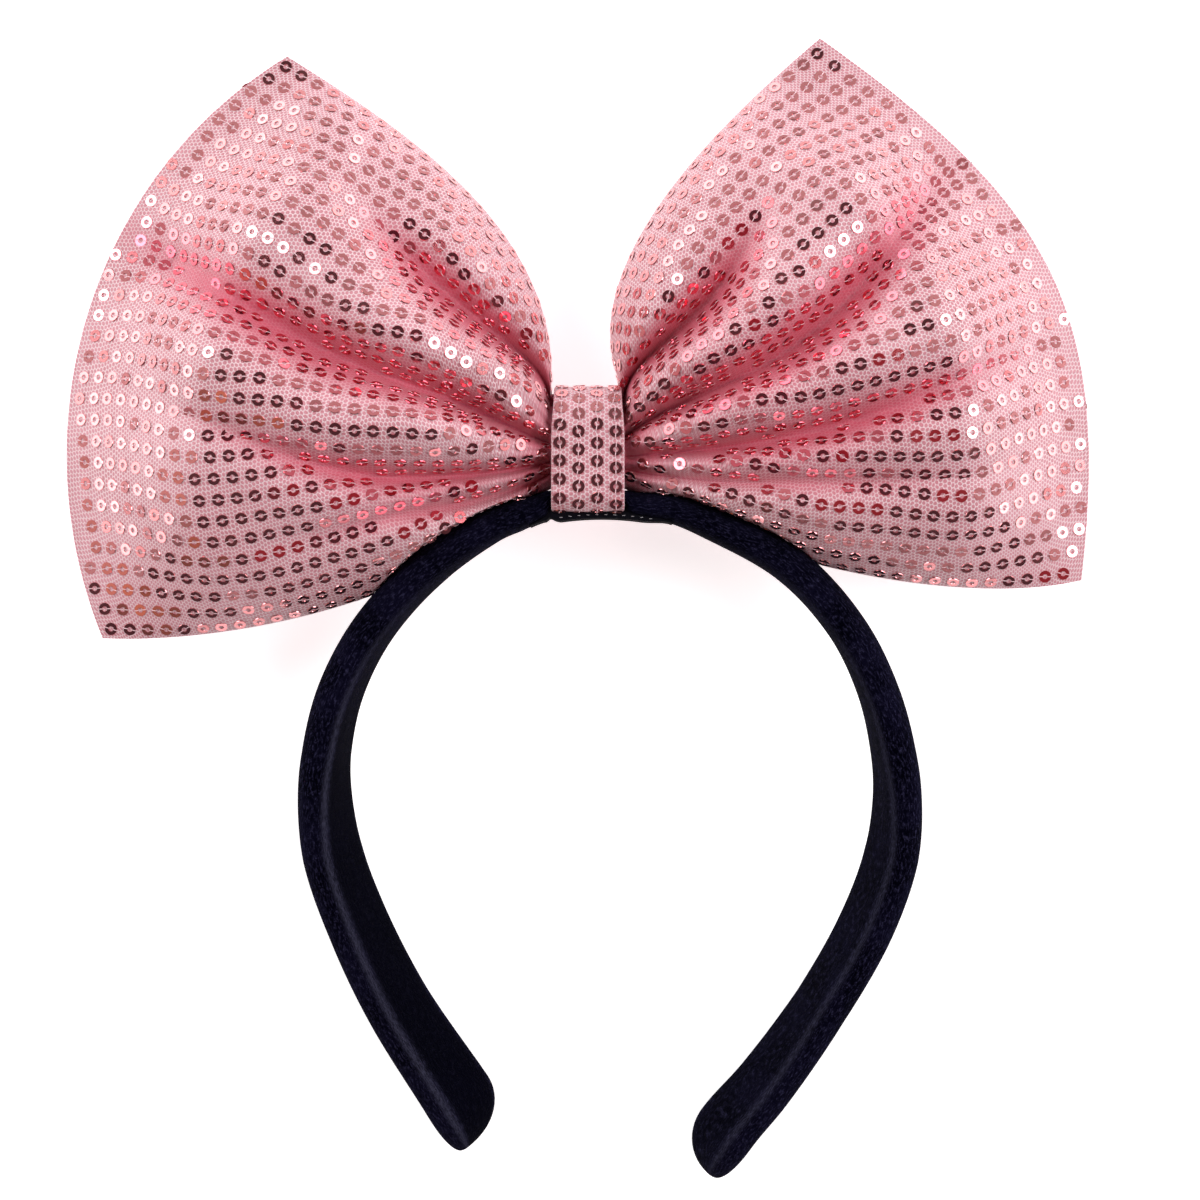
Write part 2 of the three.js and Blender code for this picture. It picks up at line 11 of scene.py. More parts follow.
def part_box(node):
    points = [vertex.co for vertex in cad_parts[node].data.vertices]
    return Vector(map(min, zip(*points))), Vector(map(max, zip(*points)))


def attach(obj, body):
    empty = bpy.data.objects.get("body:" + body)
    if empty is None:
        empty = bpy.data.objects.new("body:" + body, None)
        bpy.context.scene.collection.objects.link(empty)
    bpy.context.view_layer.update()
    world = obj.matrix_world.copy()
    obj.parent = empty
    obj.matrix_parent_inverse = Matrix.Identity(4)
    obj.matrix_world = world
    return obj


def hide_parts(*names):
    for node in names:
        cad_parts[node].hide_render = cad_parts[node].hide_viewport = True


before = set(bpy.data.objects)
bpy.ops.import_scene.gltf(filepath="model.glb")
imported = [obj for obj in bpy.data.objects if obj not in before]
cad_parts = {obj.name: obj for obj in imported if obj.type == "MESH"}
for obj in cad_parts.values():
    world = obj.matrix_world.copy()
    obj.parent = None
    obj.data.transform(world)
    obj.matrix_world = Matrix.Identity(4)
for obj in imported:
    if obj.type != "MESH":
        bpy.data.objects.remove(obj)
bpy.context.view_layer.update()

MM = 0.001
knot_low, knot_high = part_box("knot_wrap")
KNOT = np.array([(knot_low[0] + knot_high[0]) / 2, (knot_low[1] + knot_high[1]) / 2, 0.0])

# Sizes that the solids have too
BOW = dict(
    lobe_length=117, front_puff=29, back_puff=29, rest_height=25, press_softness=2,
    swell_end=0.45, settle=0.4, end_run=0.27, seam_share=0.45, section_power=1.5,
)
FOLD = dict(
    middle=1 / 3, at_knot=0.6, opening=0.25, fading=0.4, sharpness=1.25, thinnest=0.1, edge_gain=2,
    end_run=0.12,
)
WAIST = dict(height=21.5, depth=23, rise=1.85)
WRAP = dict(width=16.3, top_width=15.2, wall=1.1, edge_round=0.5, top_radius=8.5, bottom_radius=3.2)
BAND = dict(
    arm_drop=154.5, reach=64.5, offset=5, thickness=9, width=21.5, pinch=3.4, pinch_width=18.5,
    pinch_run=0.25, tip_round=11, tip_power=0.7, tip_lean=(4.5, 2.7), flatness=0.15,
)
OUTER_POWERS = (0.9, 0.8)
INNER_POWERS = (0.5, 0.6)
CLEARANCE = 0.3
CLOTH_CLEARANCE = 0.1  # less than between the solids, so that no floor shows between bow and band

WAIST_TOP = WAIST["rise"] + WAIST["height"] / 2
WAIST_BOTTOM = WAIST["rise"] - WAIST["height"] / 2
CROWN_MIDDLE = WAIST_BOTTOM - CLEARANCE - BAND["pinch"] / 2
WRAP_TOP = WAIST_TOP + CLEARANCE
WRAP_BOTTOM = WAIST_BOTTOM - 2 * CLEARANCE - BAND["pinch"]
UNDER_WRAP = WRAP_BOTTOM - WRAP["wall"] - CLEARANCE
WRAP_DEPTH = max(WAIST["depth"], BAND["pinch_width"]) + 2 * CLEARANCE
LOBE_START = WRAP["width"] / 2 + CLEARANCE

# Handles of each lobe's outline: reach as a share of the lobe's length, and bearing from the knot
OUTLINES = {
    "left": dict(
        side=-1, top=[(0.42, 96), (0.705, 119.5), (0.956, 127.4)], end=[(1.1, 151.5), (1.104, 177.8)],
        bottom=[(0.435, 225), (0.81, 207.6), (1.005, 201.2)],
    ),
    "right": dict(
        side=1, top=[(0.345, 99), (0.682, 68), (0.912, 60.6)], end=[(1.01, 28.5), (1.051, 15.3)],
        bottom=[(0.412, -34), (0.795, -22.4), (0.985, -14.8)],
    ),
}

# Folds that run out of the knot: places across the lobe at the knot, at a third of it and at the fold's end,
# then width, depth and reach as shares
FOLDS = {
    "left": [
        (0.1, 0.23, 0.16, 0.06, 0.46, 0.75),
        (0.53, 0.48, 0.335, 0.055, 0.46, 1.25),
        (0.72, 0.72, 0.6, 0.045, 0.34, 0.95),
        (0.84, 0.82, 0.86, 0.045, 0.24, 0.7),
    ],
    "right": [
        (0.16, 0.27, 0.16, 0.06, 0.46, 0.75),
        (0.45, 0.49, 0.26, 0.06, 0.48, 1.15),
        (0.66, 0.68, 0.6, 0.05, 0.38, 1.1),
        (0.8, 0.8, 0.8, 0.045, 0.2, 0.95),
    ],
    "back": [
        (0.25, 0.3, 0.26, 0.06, 0.3, 0.7),
        (0.6, 0.56, 0.5, 0.07, 0.34, 0.75),
    ],
}

# Fine gathers next to the knot: place across, width, depth in millimetres and reach along the lobe
GATHERS = {
    "left": [
        (0.22, 0.03, 1.1, 0.3), (0.36, 0.035, 1.3, 0.34), (0.62, 0.03, 1.1, 0.36), (0.92, 0.03, 0.8, 0.3),
    ],
    "right": [
        (0.07, 0.03, 1.0, 0.25), (0.31, 0.035, 1.3, 0.32), (0.56, 0.03, 1.1, 0.4), (0.9, 0.03, 0.8, 0.3),
    ],
    "back": [(0.12, 0.03, 1.0, 0.3), (0.42, 0.03, 1.1, 0.35), (0.8, 0.03, 1.0, 0.3)],
}
CREASE_WIDTH = 0.3  # of the sharp line at a fold's bottom, as a share of the fold's width
CREASE_DEPTH = 1.5
CREASE_REACH = 0.6  # share of the fold's reach
SLACK = dict(height=0.8, start=0.25, waves=7, fewest=2.4, most=6.0, divisor=3)  # slow waves of the cloth
KNOT_PAINTED_SHADE = 0.22  # painted shade: deeper pink where the cloth goes under the wrap
KNOT_SHADE_REACH = 0.16

# Centre line of each arm: out, down, thickness and width as shares, turn in degrees
ARMS = {
    "left": [
        (0.245, 0.0124, 0.66, 0.95, 0), (0.33, 0.0259, 0.8, 1, 0), (0.41, 0.0393, 0.83, 1, 0),
        (0.633, 0.0997, 0.98, 1, 2), (0.836, 0.1907, 1, 1, 4), (0.956, 0.2851, 1, 1, 7),
        (1.009, 0.3775, 1, 1, 10), (1.017, 0.4434, 1, 1, 15), (0.992, 0.528, 1, 0.98, 22),
        (0.904, 0.6341, 1, 0.96, 25), (0.766, 0.7541, 1, 0.94, 30), (0.56, 0.8894, 1, 0.965, 35),
        (0.461, 0.9556, 1, 1, 36),
    ],
    "right": [
        (0.076, 0.0071, 0.59, 0.95, 0), (0.217, 0.0159, 0.7, 1, 0), (0.361, 0.0381, 0.81, 1, 0),
        (0.637, 0.0997, 0.94, 1, 0), (0.836, 0.1907, 0.95, 1, 0), (0.949, 0.2851, 0.97, 1, 2),
        (1.006, 0.3775, 1, 1, 5), (1.022, 0.4434, 1, 1, 9), (1.005, 0.528, 1, 0.98, 15),
        (0.918, 0.6341, 1, 0.96, 17), (0.759, 0.7541, 1, 0.9, 18), (0.556, 0.876, 1, 0.89, 24),
        (0.44, 0.9334, 1, 0.93, 25), (0.327, 1, 1, 0.94, 27),
    ],
}

# Sequins and their threads
SEQUIN = dict(radius=1.45, hole=0.54, height=0.14, bevel=0.07, sides=14, lift=0.05)
SEQUIN_PITCH = 4.2  # along a row
ROW_PITCH = 4.8
ROWS = 31
ROW_START = 1.2  # least distance of a row's first sequin from the lobe's end
ROW_END = 0.8  # least distance of its last one from the wrap
FIRST_ROW = 1.6  # where the first row would start without its shift
ROW_DRIFT = (0.5, 0.7)  # mean and spread of the shift from one row to the next
SEQUIN_JITTER = 0.06
SEQUIN_TILT = 2.5  # degrees
SEQUIN_GAP = 0.1  # between neighbours, and between the lowest ones and the floor
SEQUIN_COVER = 0.5  # how far the cloth beside a sequin may rise above it
COVER_REACH = 0.9  # share of a sequin's radius within which that counts
THREAD = dict(width=0.2, height=0.07, sunk=0.1, in_hole=2 / 3, off_hole=0.05, off_rim=0.12, beyond=0.3)
THREAD_TURN = 11  # degrees off the row
KNOT_SEQUINS = dict(columns=4, column_pitch=4.15, pitch=4.05, jitter=0.08, starts=(1.0, 0.4))
STITCH = dict(
    length=0.75, width=0.14, height=0.1, sunk=0.1, taper=0.7, turn=0.06, pitch=2.0, first=-6.0, last=15,
    below=0.55,
)

STRIP = dict(length=32, width=17, thickness=1.3, radius=65, bevel=0.2, shift=3, steps=80)
STRIP_PROUD = 0.15  # how far the strip's ends stand out from the velvet
STRIP_LEVEL = 0.55  # share of its length before it thins towards its ends
STRIP_TUCK = 0.25  # how far its upper side goes into the velvet

# The velvet's ridge, at the front corner of the band's inner face: angles round the section in degrees,
# and for the left and right arm how strong the ridge's light line and the inner face's shade are
RIDGE = dict(
    angle=128, spread=13, strength=(1.0, 0.6), shade=(0.9, 0.45), shaded=(140, 225), edge=12, run=0.4,
)

NET_PITCH = 0.00088  # between the rows of meshes in the net, in metres

WRAP_SAG = dict(depth=0.16, start=1, run=2)  # how the cloth hangs below the solid wrap, down to the strip
WRAP_BULGE = 0.12  # how far the middle of its width stands out

# Studio, in metres
SOFTBOX = dict(distance=1.2, width=0.45, height=0.8)
SOFTBOXES = {"left_softbox": ((-0.62, 0.34, 0.72), 5.6), "right_softbox": ((0.7, 0.1, 0.75), 7.0)}
CAMERA = dict(height=0.7, lens=93, sensor=36, clip=20)
CAMERA_AIM = (2.7, -33.9)  # from the knot, in millimetres

# Colours
# fold and crease are painted shade: crimson in the folds' valleys, darker crimson along their creases
SATIN = dict(
    deep=(0.59, 0.225, 0.27, 1), light=(0.68, 0.29, 0.345, 1), twill=(0.76, 0.41, 0.48, 1),
    net=(0.88, 0.71, 0.745, 1), fold=(0.68, 0.1, 0.165, 1), crease=(0.46, 0.025, 0.07, 1),
)
# fold is a painted reflection: sequins deep in a fold tinted crimson, as the shaded cloth around them would
# mirror in them
FOIL = dict(deep=(0.68, 0.225, 0.235, 1), light=(0.8, 0.29, 0.3, 1), fold=(0.76, 0.075, 0.13, 1))
COTTON = dict(deep=(0.8, 0.48, 0.54, 1), light=(0.95, 0.72, 0.77, 1))
VELVET = dict(
    dark=(0.0004, 0.0003, 0.003, 1), brushed=(0.0032, 0.0028, 0.0115, 1), lit=(0.026, 0.025, 0.06, 1),
    shade=(0.0007, 0.0007, 0.003, 1), ridge=(0.036, 0.036, 0.062, 1),
)
RIBBON = dict(dark=(0.002, 0.002, 0.004, 1), light=(0.008, 0.008, 0.012, 1))
SKY = dict(
    plain=(0.65, 0.63, 0.63, 1), window=(3.2, 3.15, 3.1, 1), dark=(0.055, 0.04, 0.05, 1),
    crimson=(0.3, 0.03, 0.05, 1), warm=(0.8, 0.52, 0.3, 1),
)

# Fineness of the meshes
LOBE_ACROSS = 120
LOBE_ALONG = 180
LOBE_CROWDING = 0.17  # how much more closely the points lie in the middle of a lobe than at its edges
BAND_SIDES = 56
BAND_STEP = 1.6
BAND_GIRTH = 0.85  # length round a section, as a share of that round its box
TIP_ROWS = 14
OUTLINE_STEP, OUTLINE_SIDES = 2.5, 14  # of the band's outline that the cloth keeps off
LOOP_STEPS = 220
LOOP_CORNER = 24
WRAP_FACE, WRAP_EDGE = 15, 7
ROW_GRID = (301, 401)  # along and across, to lay the rows of sequins on
COVER_GRID = (201, 241)  # to tell which of them the cloth covers

SEEDS = dict(left=11, right=12, to_back=10, lobe_sequins=7, knot_sequins=5, stitches=3)


# Small helpers

def smooth_step(x):
    x = np.clip(x, 0, 1)
    return x * x * (3 - 2 * x)


def lerp(start, end, share):
    return start + (end - start) * share


def signed_power(x, power):
    return np.sign(x) * np.abs(x) ** power


def unit(vectors):
    return vectors / np.maximum(np.linalg.norm(vectors, axis=-1, keepdims=True), 1e-9)


def arc_lengths(points, axis=0):
    """Length of the way to each point, along one axis of a grid."""
    runs = np.linalg.norm(np.diff(points, axis=axis), axis=-1)
    start = np.zeros_like(np.take(runs, [0], axis=axis))
    return np.concatenate([start, np.cumsum(runs, axis=axis)], axis=axis)


def shifted(faces, start):
    return [tuple(start + corner for corner in face) for face in faces]


def add_object(name, data):
    made = bpy.data.objects.new(name, data)
    bpy.context.scene.collection.objects.link(made)
    return made


def make_mesh(name, points, faces, material, smooth=True, uv=None):
    """A piece from points in millimetres round the knot's centre and a list of faces."""
    mesh = bpy.data.meshes.new(name)
    placed = np.asarray(points, float) * MM + KNOT
    mesh.from_pydata(placed.tolist(), [], faces)
    mesh.polygons.foreach_set("use_smooth", [smooth] * len(mesh.polygons))
    if uv is not None:
        layer = mesh.uv_layers.new(name="cloth")
        layer.data.foreach_set("uv", np.asarray(uv, float).ravel())
    mesh.update()
    mesh.materials.append(material)
    piece = add_object(name, mesh)
    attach(piece, "root")
    return piece


def add_values(piece, domain, **values):
    """Numbers for the materials, one to each point or face."""
    for name, numbers in values.items():
        piece.data.attributes.new(name, "FLOAT", domain).data.foreach_set("value", numbers)


def ring_faces(rows, count, closed=False):
    """Quads between rows of points that each run round once. Closed joins the last row to the first."""
    faces = []
    for i in range(rows if closed else rows - 1):
        here, following = i * count, (i + 1) % rows * count
        for j in range(count):
            k = (j + 1) % count
            faces.append((here + j, following + j, following + k, here + k))
    return faces


# Lobes of the bow

class Edge:
    """A cubic Bezier curve that is read by its share of length."""

    def __init__(self, points, steps=400):
        a, b, c, d = [np.array(point, float) for point in points]
        t = np.linspace(0, 1, steps + 1)[:, None]
        self.points = (1 - t) ** 3 * a + 3 * t * (1 - t) ** 2 * b + 3 * t * t * (1 - t) * c + t**3 * d
        self.lengths = arc_lengths(self.points)

    def at(self, share):
        length = np.asarray(share) * self.lengths[-1]
        return np.stack([np.interp(length, self.lengths, self.points[:, axis]) for axis in (0, 1)], -1)


def handle(reach, bearing):
    angle = math.radians(bearing)
    return (math.cos(angle) * reach * BOW["lobe_length"], math.sin(angle) * reach * BOW["lobe_length"])


def lobe_edges(outline):
    top, bottom, end = [[handle(*pair) for pair in outline[edge]] for edge in ("top", "bottom", "end")]
    knot_top, knot_bottom = [(outline["side"] * LOBE_START, y) for y in (WAIST_TOP, WAIST_BOTTOM)]
    return dict(
        top=Edge([knot_top, *top]),
        bottom=Edge([knot_bottom, *bottom]),
        end=Edge([top[-1], *end, bottom[-1]]),
        knot=(np.array(knot_top), np.array(knot_bottom)),
    )


EDGES = {side: lobe_edges(outline) for side, outline in OUTLINES.items()}


def lobe_place(side, along, across):
    edges = EDGES[side]
    s, t = along[..., None], across[..., None]
    knot_top, knot_bottom = edges["knot"]
    end_top, end_bottom = edges["end"].points[0], edges["end"].points[-1]
    between_edges = lerp(edges["top"].at(along), edges["bottom"].at(along), t)
    between_ends = lerp(lerp(knot_top, knot_bottom, t), edges["end"].at(across), s)
    corners = lerp(lerp(knot_top, knot_bottom, t), lerp(end_top, end_bottom, t), s)
    return between_edges + between_ends - corners


def swell(along, at_knot):
    rise = np.sin(np.pi / 2 * np.minimum(1, along / BOW["swell_end"]))
    beyond = np.maximum(0, (along - BOW["swell_end"]) / (1 - BOW["swell_end"]))
    settled = 1 - BOW["settle"] * beyond**2
    from_end = np.clip((1 - along) / BOW["end_run"], 0, 1)
    end = lerp(smooth_step(from_end), np.sin(np.pi / 2 * from_end), BOW["seam_share"])
    return (at_knot + (1 - at_knot) * rise) * settled * end


def fold_place(fold, along):
    at_knot, at_third, at_end, _, _, reach = fold
    middle = FOLD["middle"]
    near = lerp(at_knot, at_third, np.sin(np.pi / 2 * np.minimum(1, along / middle)))
    far = lerp(at_third, at_end, smooth_step((along - middle) / (reach - middle)))
    return np.where(along < middle, near, far)


def fold_strengths(fold, along, across, narrow=1.0):
    """How strongly a fold acts at a place, from 0 to 1."""
    width, reach = fold[3] * narrow, fold[5]
    opened = lerp(FOLD["at_knot"], 1, smooth_step(along / FOLD["opening"]))
    faded = 1 - smooth_step((along / reach - FOLD["fading"]) / (1 - FOLD["fading"]))
    away = np.abs(across - fold_place(fold, along)) / width
    return opened * faded * np.exp(-(away ** FOLD["sharpness"]))


def slow_waves(along, across, seed):
    """Slack of the cloth, from a few slow waves of fixed random directions."""
    random = np.random.default_rng(seed)
    total = 0
    for _ in range(SLACK["waves"]):
        turn = random.uniform(0, 2 * np.pi)
        count = random.uniform(SLACK["fewest"], SLACK["most"])
        phase = random.uniform(0, 2 * np.pi)
        total = total + np.sin(2 * np.pi * count * (along * np.cos(turn) + across * np.sin(turn)) + phase)
    return total / SLACK["divisor"]


def press_flat(z):
    soft = BOW["press_softness"]
    return np.where(z >= soft, z, np.where(z <= -soft, 0, (z + soft) ** 2 / (4 * soft)))


def lobe_skin(side, front, along, across):
    """Grids over a lobe's front or back: points, how deep in a fold they lie and how near its crease."""
    along, across = np.broadcast_arrays(along[:, None], across[None, :])
    key = side if front else "back"
    puff = BOW["front_puff"] if front else BOW["back_puff"]
    rounded = (2 * np.sqrt(np.clip(across * (1 - across), 0, 1))) ** BOW["section_power"]
    smooth = swell(along, WAIST["depth"] / 2 / puff) * rounded
    depth = sum(fold[4] * fold_strengths(fold, along, across) for fold in FOLDS[key])
    crease = sum(
        fold_strengths(fold, along, across, CREASE_WIDTH)
        * (1 - smooth_step(along / (fold[5] * CREASE_REACH)))
        for fold in FOLDS[key]
    )
    gather = sum(
        deep * np.exp(-((across - place) / width) ** 2) * (1 - smooth_step(along / reach))
        for place, width, deep, reach in GATHERS[key]
    )
    edge_fade = np.minimum(1, FOLD["edge_gain"] * rounded) * np.minimum(1, (1 - along) / FOLD["end_run"])
    seed = SEEDS[side] + (0 if front else SEEDS["to_back"])
    waves = SLACK["height"] * slow_waves(along, across, seed) * smooth_step(along / SLACK["start"])
    fine = (waves - CREASE_DEPTH * crease - gather) * edge_fade
    height = puff * np.maximum(FOLD["thinnest"] * smooth, smooth - depth * edge_fade) + fine
    height = np.maximum(height, 0.5 * FOLD["thinnest"] * puff * smooth)
    place = lobe_place(side, along, across)
    z = BOW["rest_height"] + height if front else press_flat(BOW["rest_height"] - height)
    points = np.concatenate([place, z[..., None]], -1)
    return clear_of_band(points), depth, crease


# Headband

class Band:
    """Centre line of the band as a centripetal Catmull-Rom curve, with its section sizes."""

    def __init__(self):
        places, sizes = [], []
        for side, sign in (("left", -1), ("right", 1)):
            rows = ARMS[side]
            points = [
                (BAND["offset"] + sign * out * BAND["reach"], CROWN_MIDDLE - down * BAND["arm_drop"])
                for out, down, *_ in rows
            ]
            section = [
                (thick * BAND["thickness"], wide * BAND["width"], turn) for _, _, thick, wide, turn in rows
            ]
            places.append(points[::-1] if sign < 0 else points)
            sizes.append(section[::-1] if sign < 0 else section)
        run = LOBE_START + BAND["pinch_run"]
        crown = [(x, CROWN_MIDDLE) for x in (-run, -LOBE_START, LOBE_START, run)]
        pinched = [(BAND["pinch"], BAND["pinch_width"], 0)] * len(crown)
        self.points = np.array(places[0] + crown + places[1], float)
        self.sizes = np.array(sizes[0] + pinched + sizes[1], float)
        self.count = len(self.points) - 1

    def point(self, share):
        """Place and direction at a share of the rows."""
        place = share * self.count
        index = min(int(place), self.count - 1)
        weight = place - index
        p = self.points
        before = p[index - 1] if index > 0 else 2 * p[0] - p[1]
        after = p[index + 2] if index + 2 <= self.count else 2 * p[-1] - p[-2]
        x0, x1, x2, x3 = before, p[index], p[index + 1], after
        d0, d1, d2 = [max(np.linalg.norm(b - a), 1e-4) ** 0.5 for a, b in ((x0, x1), (x1, x2), (x2, x3))]
        t1 = ((x1 - x0) / d0 - (x2 - x0) / (d0 + d1) + (x2 - x1) / d1) * d1
        t2 = ((x2 - x1) / d1 - (x3 - x1) / (d1 + d2) + (x3 - x2) / d2) * d1
        c2 = -3 * x1 + 3 * x2 - 2 * t1 - t2
        c3 = 2 * x1 - 2 * x2 + t1 + t2
        centre = x1 + t1 * weight + c2 * weight**2 + c3 * weight**3
        direction = t1 + 2 * c2 * weight + 3 * c3 * weight**2
        return centre, direction / np.linalg.norm(direction)

    def lean(self, centre):
        """How far the very end of the tip on this side leans outwards."""
        return BAND["tip_lean"][0 if centre[0] < BAND["offset"] else 1]

    def tip_end(self, share):
        centre, tangent = self.point(share)
        return np.array([*(centre + np.array([-tangent[1], tangent[0]]) * self.lean(centre)), 0.0])

    def section(self, share, sides):
        """Centre, outward direction and ring of a section, before its arm sinks."""
        centre, tangent = self.point(share)
        outward = np.array([-tangent[1], tangent[0]])
        place = share * self.count
        index = min(int(place), self.count - 1)
        thickness, width, turn = lerp(self.sizes[index], self.sizes[index + 1], place - index)
        to_tip = min(np.linalg.norm(centre - self.points[0]), np.linalg.norm(centre - self.points[-1]))
        in_tip = max(0.0, 1 - to_tip / BAND["tip_round"])
        tip_scale = math.sqrt(max(0.0, 1 - in_tip**2))
        angle = 2 * np.pi * (np.arange(sides) + 0.5) / sides
        outer = np.cos(angle) > 0
        reach = np.where(outer, 0.5 + BAND["flatness"], 0.5 - BAND["flatness"])
        thick_power = np.where(outer, OUTER_POWERS[0], INNER_POWERS[0])
        wide_power = np.where(outer, OUTER_POWERS[1], INNER_POWERS[1])
        along = signed_power(np.cos(angle), thick_power) * reach
        across = signed_power(np.sin(angle), wide_power) / 2
        thick = (along - BAND["flatness"]) * thickness * tip_scale ** BAND["tip_power"]
        wide = across * width * tip_scale
        turn = math.radians(turn)
        lean = (1 - tip_scale) * self.lean(centre)
        plan = centre + outward * (lean + thick * math.cos(turn) + wide * math.sin(turn))[:, None]
        height = wide * math.cos(turn) - thick * math.sin(turn)
        return centre, outward, np.column_stack([plan, height])

    def stations(self, step):
        shares = []
        for i in range(self.count):
            run = np.linalg.norm(self.points[i + 1] - self.points[i])
            count = max(1, round(run / step))
            shares += [(i + k / count) / self.count for k in range(count)]
        first = BAND["tip_round"] / np.linalg.norm(self.points[1] - self.points[0]) / self.count
        last = BAND["tip_round"] / np.linalg.norm(self.points[-1] - self.points[-2]) / self.count
        rounding = 1 - np.cos(np.pi / 2 * np.linspace(0.03, 1, TIP_ROWS))
        middle = [share for share in shares if first < share < 1 - last]
        return sorted([*(first * rounding), *middle, *(1 - last * rounding)])


band = Band()


def band_outline():
    """Centres, outward directions and outer reach along the band, seen from the front."""
    rows = []
    for share in band.stations(OUTLINE_STEP):
        centre, outward, ring = band.section(share, OUTLINE_SIDES)
        rows.append((*centre, *outward, np.max((ring[:, :2] - centre) @ outward)))
    return np.array(rows)


BAND_OUTLINE = band_outline()


def clear_of_band(points):
    """Moves points of the bow out of the headband's way, seen from the front."""
    flat = points.reshape(-1, 3).copy()
    near = np.flatnonzero(flat[:, 1] < WAIST_BOTTOM + BAND["width"])
    centres, outwards, reaches = BAND_OUTLINE[:, :2], BAND_OUTLINE[:, 2:4], BAND_OUTLINE[:, 4]
    distances = np.linalg.norm(flat[near, None, :2] - centres[None], axis=2)
    nearest = distances.argmin(1)
    offsets = np.sum((flat[near, :2] - centres[nearest]) * outwards[nearest], axis=1)
    missing = np.maximum(0, reaches[nearest] + CLOTH_CLEARANCE - offsets)
    flat[near, :2] += outwards[nearest] * missing[:, None]
    return flat.reshape(points.shape)


def below_crown(centre):
    return max(0.0, CROWN_MIDDLE - centre[1])


def band_uvs(sections, faces):
    """For each corner of each face, how far round the band it is and how far along, in metres."""
    lengths = arc_lengths(np.array([centre for centre, _, _ in sections]))
    girth = 2 * (BAND["thickness"] + BAND["width"]) * BAND_GIRTH
    ring_points = len(sections) * BAND_SIDES
    uvs = []
    for face in faces:
        wraps = any(corner % BAND_SIDES == 0 for corner in face) and any(
            corner % BAND_SIDES == BAND_SIDES - 1 for corner in face
        )
        for corner in face:
            row, side = divmod(min(corner, ring_points - 1), BAND_SIDES)
            around = BAND_SIDES if wraps and side == 0 else side
            uvs.append((around / BAND_SIDES * girth * MM, lengths[row] * MM))
    return np.array(uvs)


def sink_arms(sections, ends):
    """Lets each arm slope down from the crown until its tip rests on the floor."""
    for is_left in (True, False):
        arm = [part for part in sections if (part[0][0] < BAND["offset"]) == is_left]
        lower = [part for part in arm if below_crown(part[0]) > BAND["arm_drop"] / 2]
        slope = min(
            (BOW["rest_height"] + ring[:, 2].min()) / below_crown(centre) for centre, _, ring in lower
        )
        for centre, _, ring in arm:
            ring[:, 2] += BOW["rest_height"] - slope * below_crown(centre)
        for end in ends:
            if (end[0] < BAND["offset"]) == is_left:
                end[2] = BOW["rest_height"] - slope * (CROWN_MIDDLE - end[1])


def arm_values(sections, profile, shares):
    """A profile round the band that sets in along each arm, at its own share on the left and right arm."""
    rows = [
        smooth_step(below_crown(centre) / (RIDGE["run"] * BAND["arm_drop"]))
        * shares[int(centre[0] > BAND["offset"])]
        for centre, _, _ in sections
    ]
    return np.concatenate([np.outer(rows, profile).ravel(), [0, 0]])


def build_headband(material):
    sections = [band.section(share, BAND_SIDES) for share in band.stations(BAND_STEP)][::-1]
    ends = [band.tip_end(1), band.tip_end(0)]
    sink_arms(sections, ends)
    points = np.concatenate([*[ring for _, _, ring in sections], np.array(ends)])
    faces = ring_faces(len(sections), BAND_SIDES)
    start, end = len(points) - 2, len(points) - 1
    last = (len(sections) - 1) * BAND_SIDES
    for j in range(BAND_SIDES):
        k = (j + 1) % BAND_SIDES
        faces += [(start, j, k), (end, last + k, last + j)]
    piece = make_mesh("headband_velvet", points, faces, material, uv=band_uvs(sections, faces))
    angles = np.degrees(2 * np.pi * (np.arange(BAND_SIDES) + 0.5) / BAND_SIDES)
    line = np.exp(-(((angles - RIDGE["angle"]) / RIDGE["spread"]) ** 2))
    low, high = RIDGE["shaded"]
    inner_face = smooth_step((angles - low) / RIDGE["edge"]) * smooth_step((high - angles) / RIDGE["edge"])
    add_values(
        piece, "POINT",
        ridge=arm_values(sections, line, RIDGE["strength"]),
        shade=arm_values(sections, inner_face, RIDGE["shade"]),
    )
    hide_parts("headband")


# Bow cloth

def around_lobe(front, back):
    """Values in rings round a lobe, followed by those along the seam at its end."""
    rings = np.concatenate([front[:-1], back[:-1, -2:0:-1]], axis=1)
    return np.concatenate([rings.reshape(-1, *front.shape[2:]), front[-1]])


def cloth_plan(grid):
    """How far along and across its cloth each point of a grid lies."""
    middle = grid.shape[1] // 2
    along = arc_lengths(grid[:, middle : middle + 1], 0)
    return np.stack(np.broadcast_arrays(along, arc_lengths(grid, 1)), -1)


def lobe_faces(side, start, front_plan, back_plan):
    """Faces round a lobe, and where on the cloth each of their corners lies."""
    sides = 2 * LOBE_ACROSS
    seam = start + LOBE_ALONG * sides

    def index(i, j):
        return start + i * sides + j % sides if i < LOBE_ALONG else seam + min(j, sides - j)

    faces, uvs = [], []
    for i in range(LOBE_ALONG):
        for j in range(sides):
            corners = [(i, j), (i, j + 1), (i + 1, j + 1), (i + 1, j)]
            if side == "right":
                corners = corners[::-1]
            ids = [index(*corner) for corner in corners]
            kept = [c for c, name in enumerate(ids) if name not in ids[:c]]
            if len(kept) < 3:
                continue
            faces.append([ids[c] for c in kept])
            for row, place in [corners[c] for c in kept]:
                uvs.append(front_plan[row, place] if j < LOBE_ACROSS else back_plan[row, sides - place])
    return faces, uvs


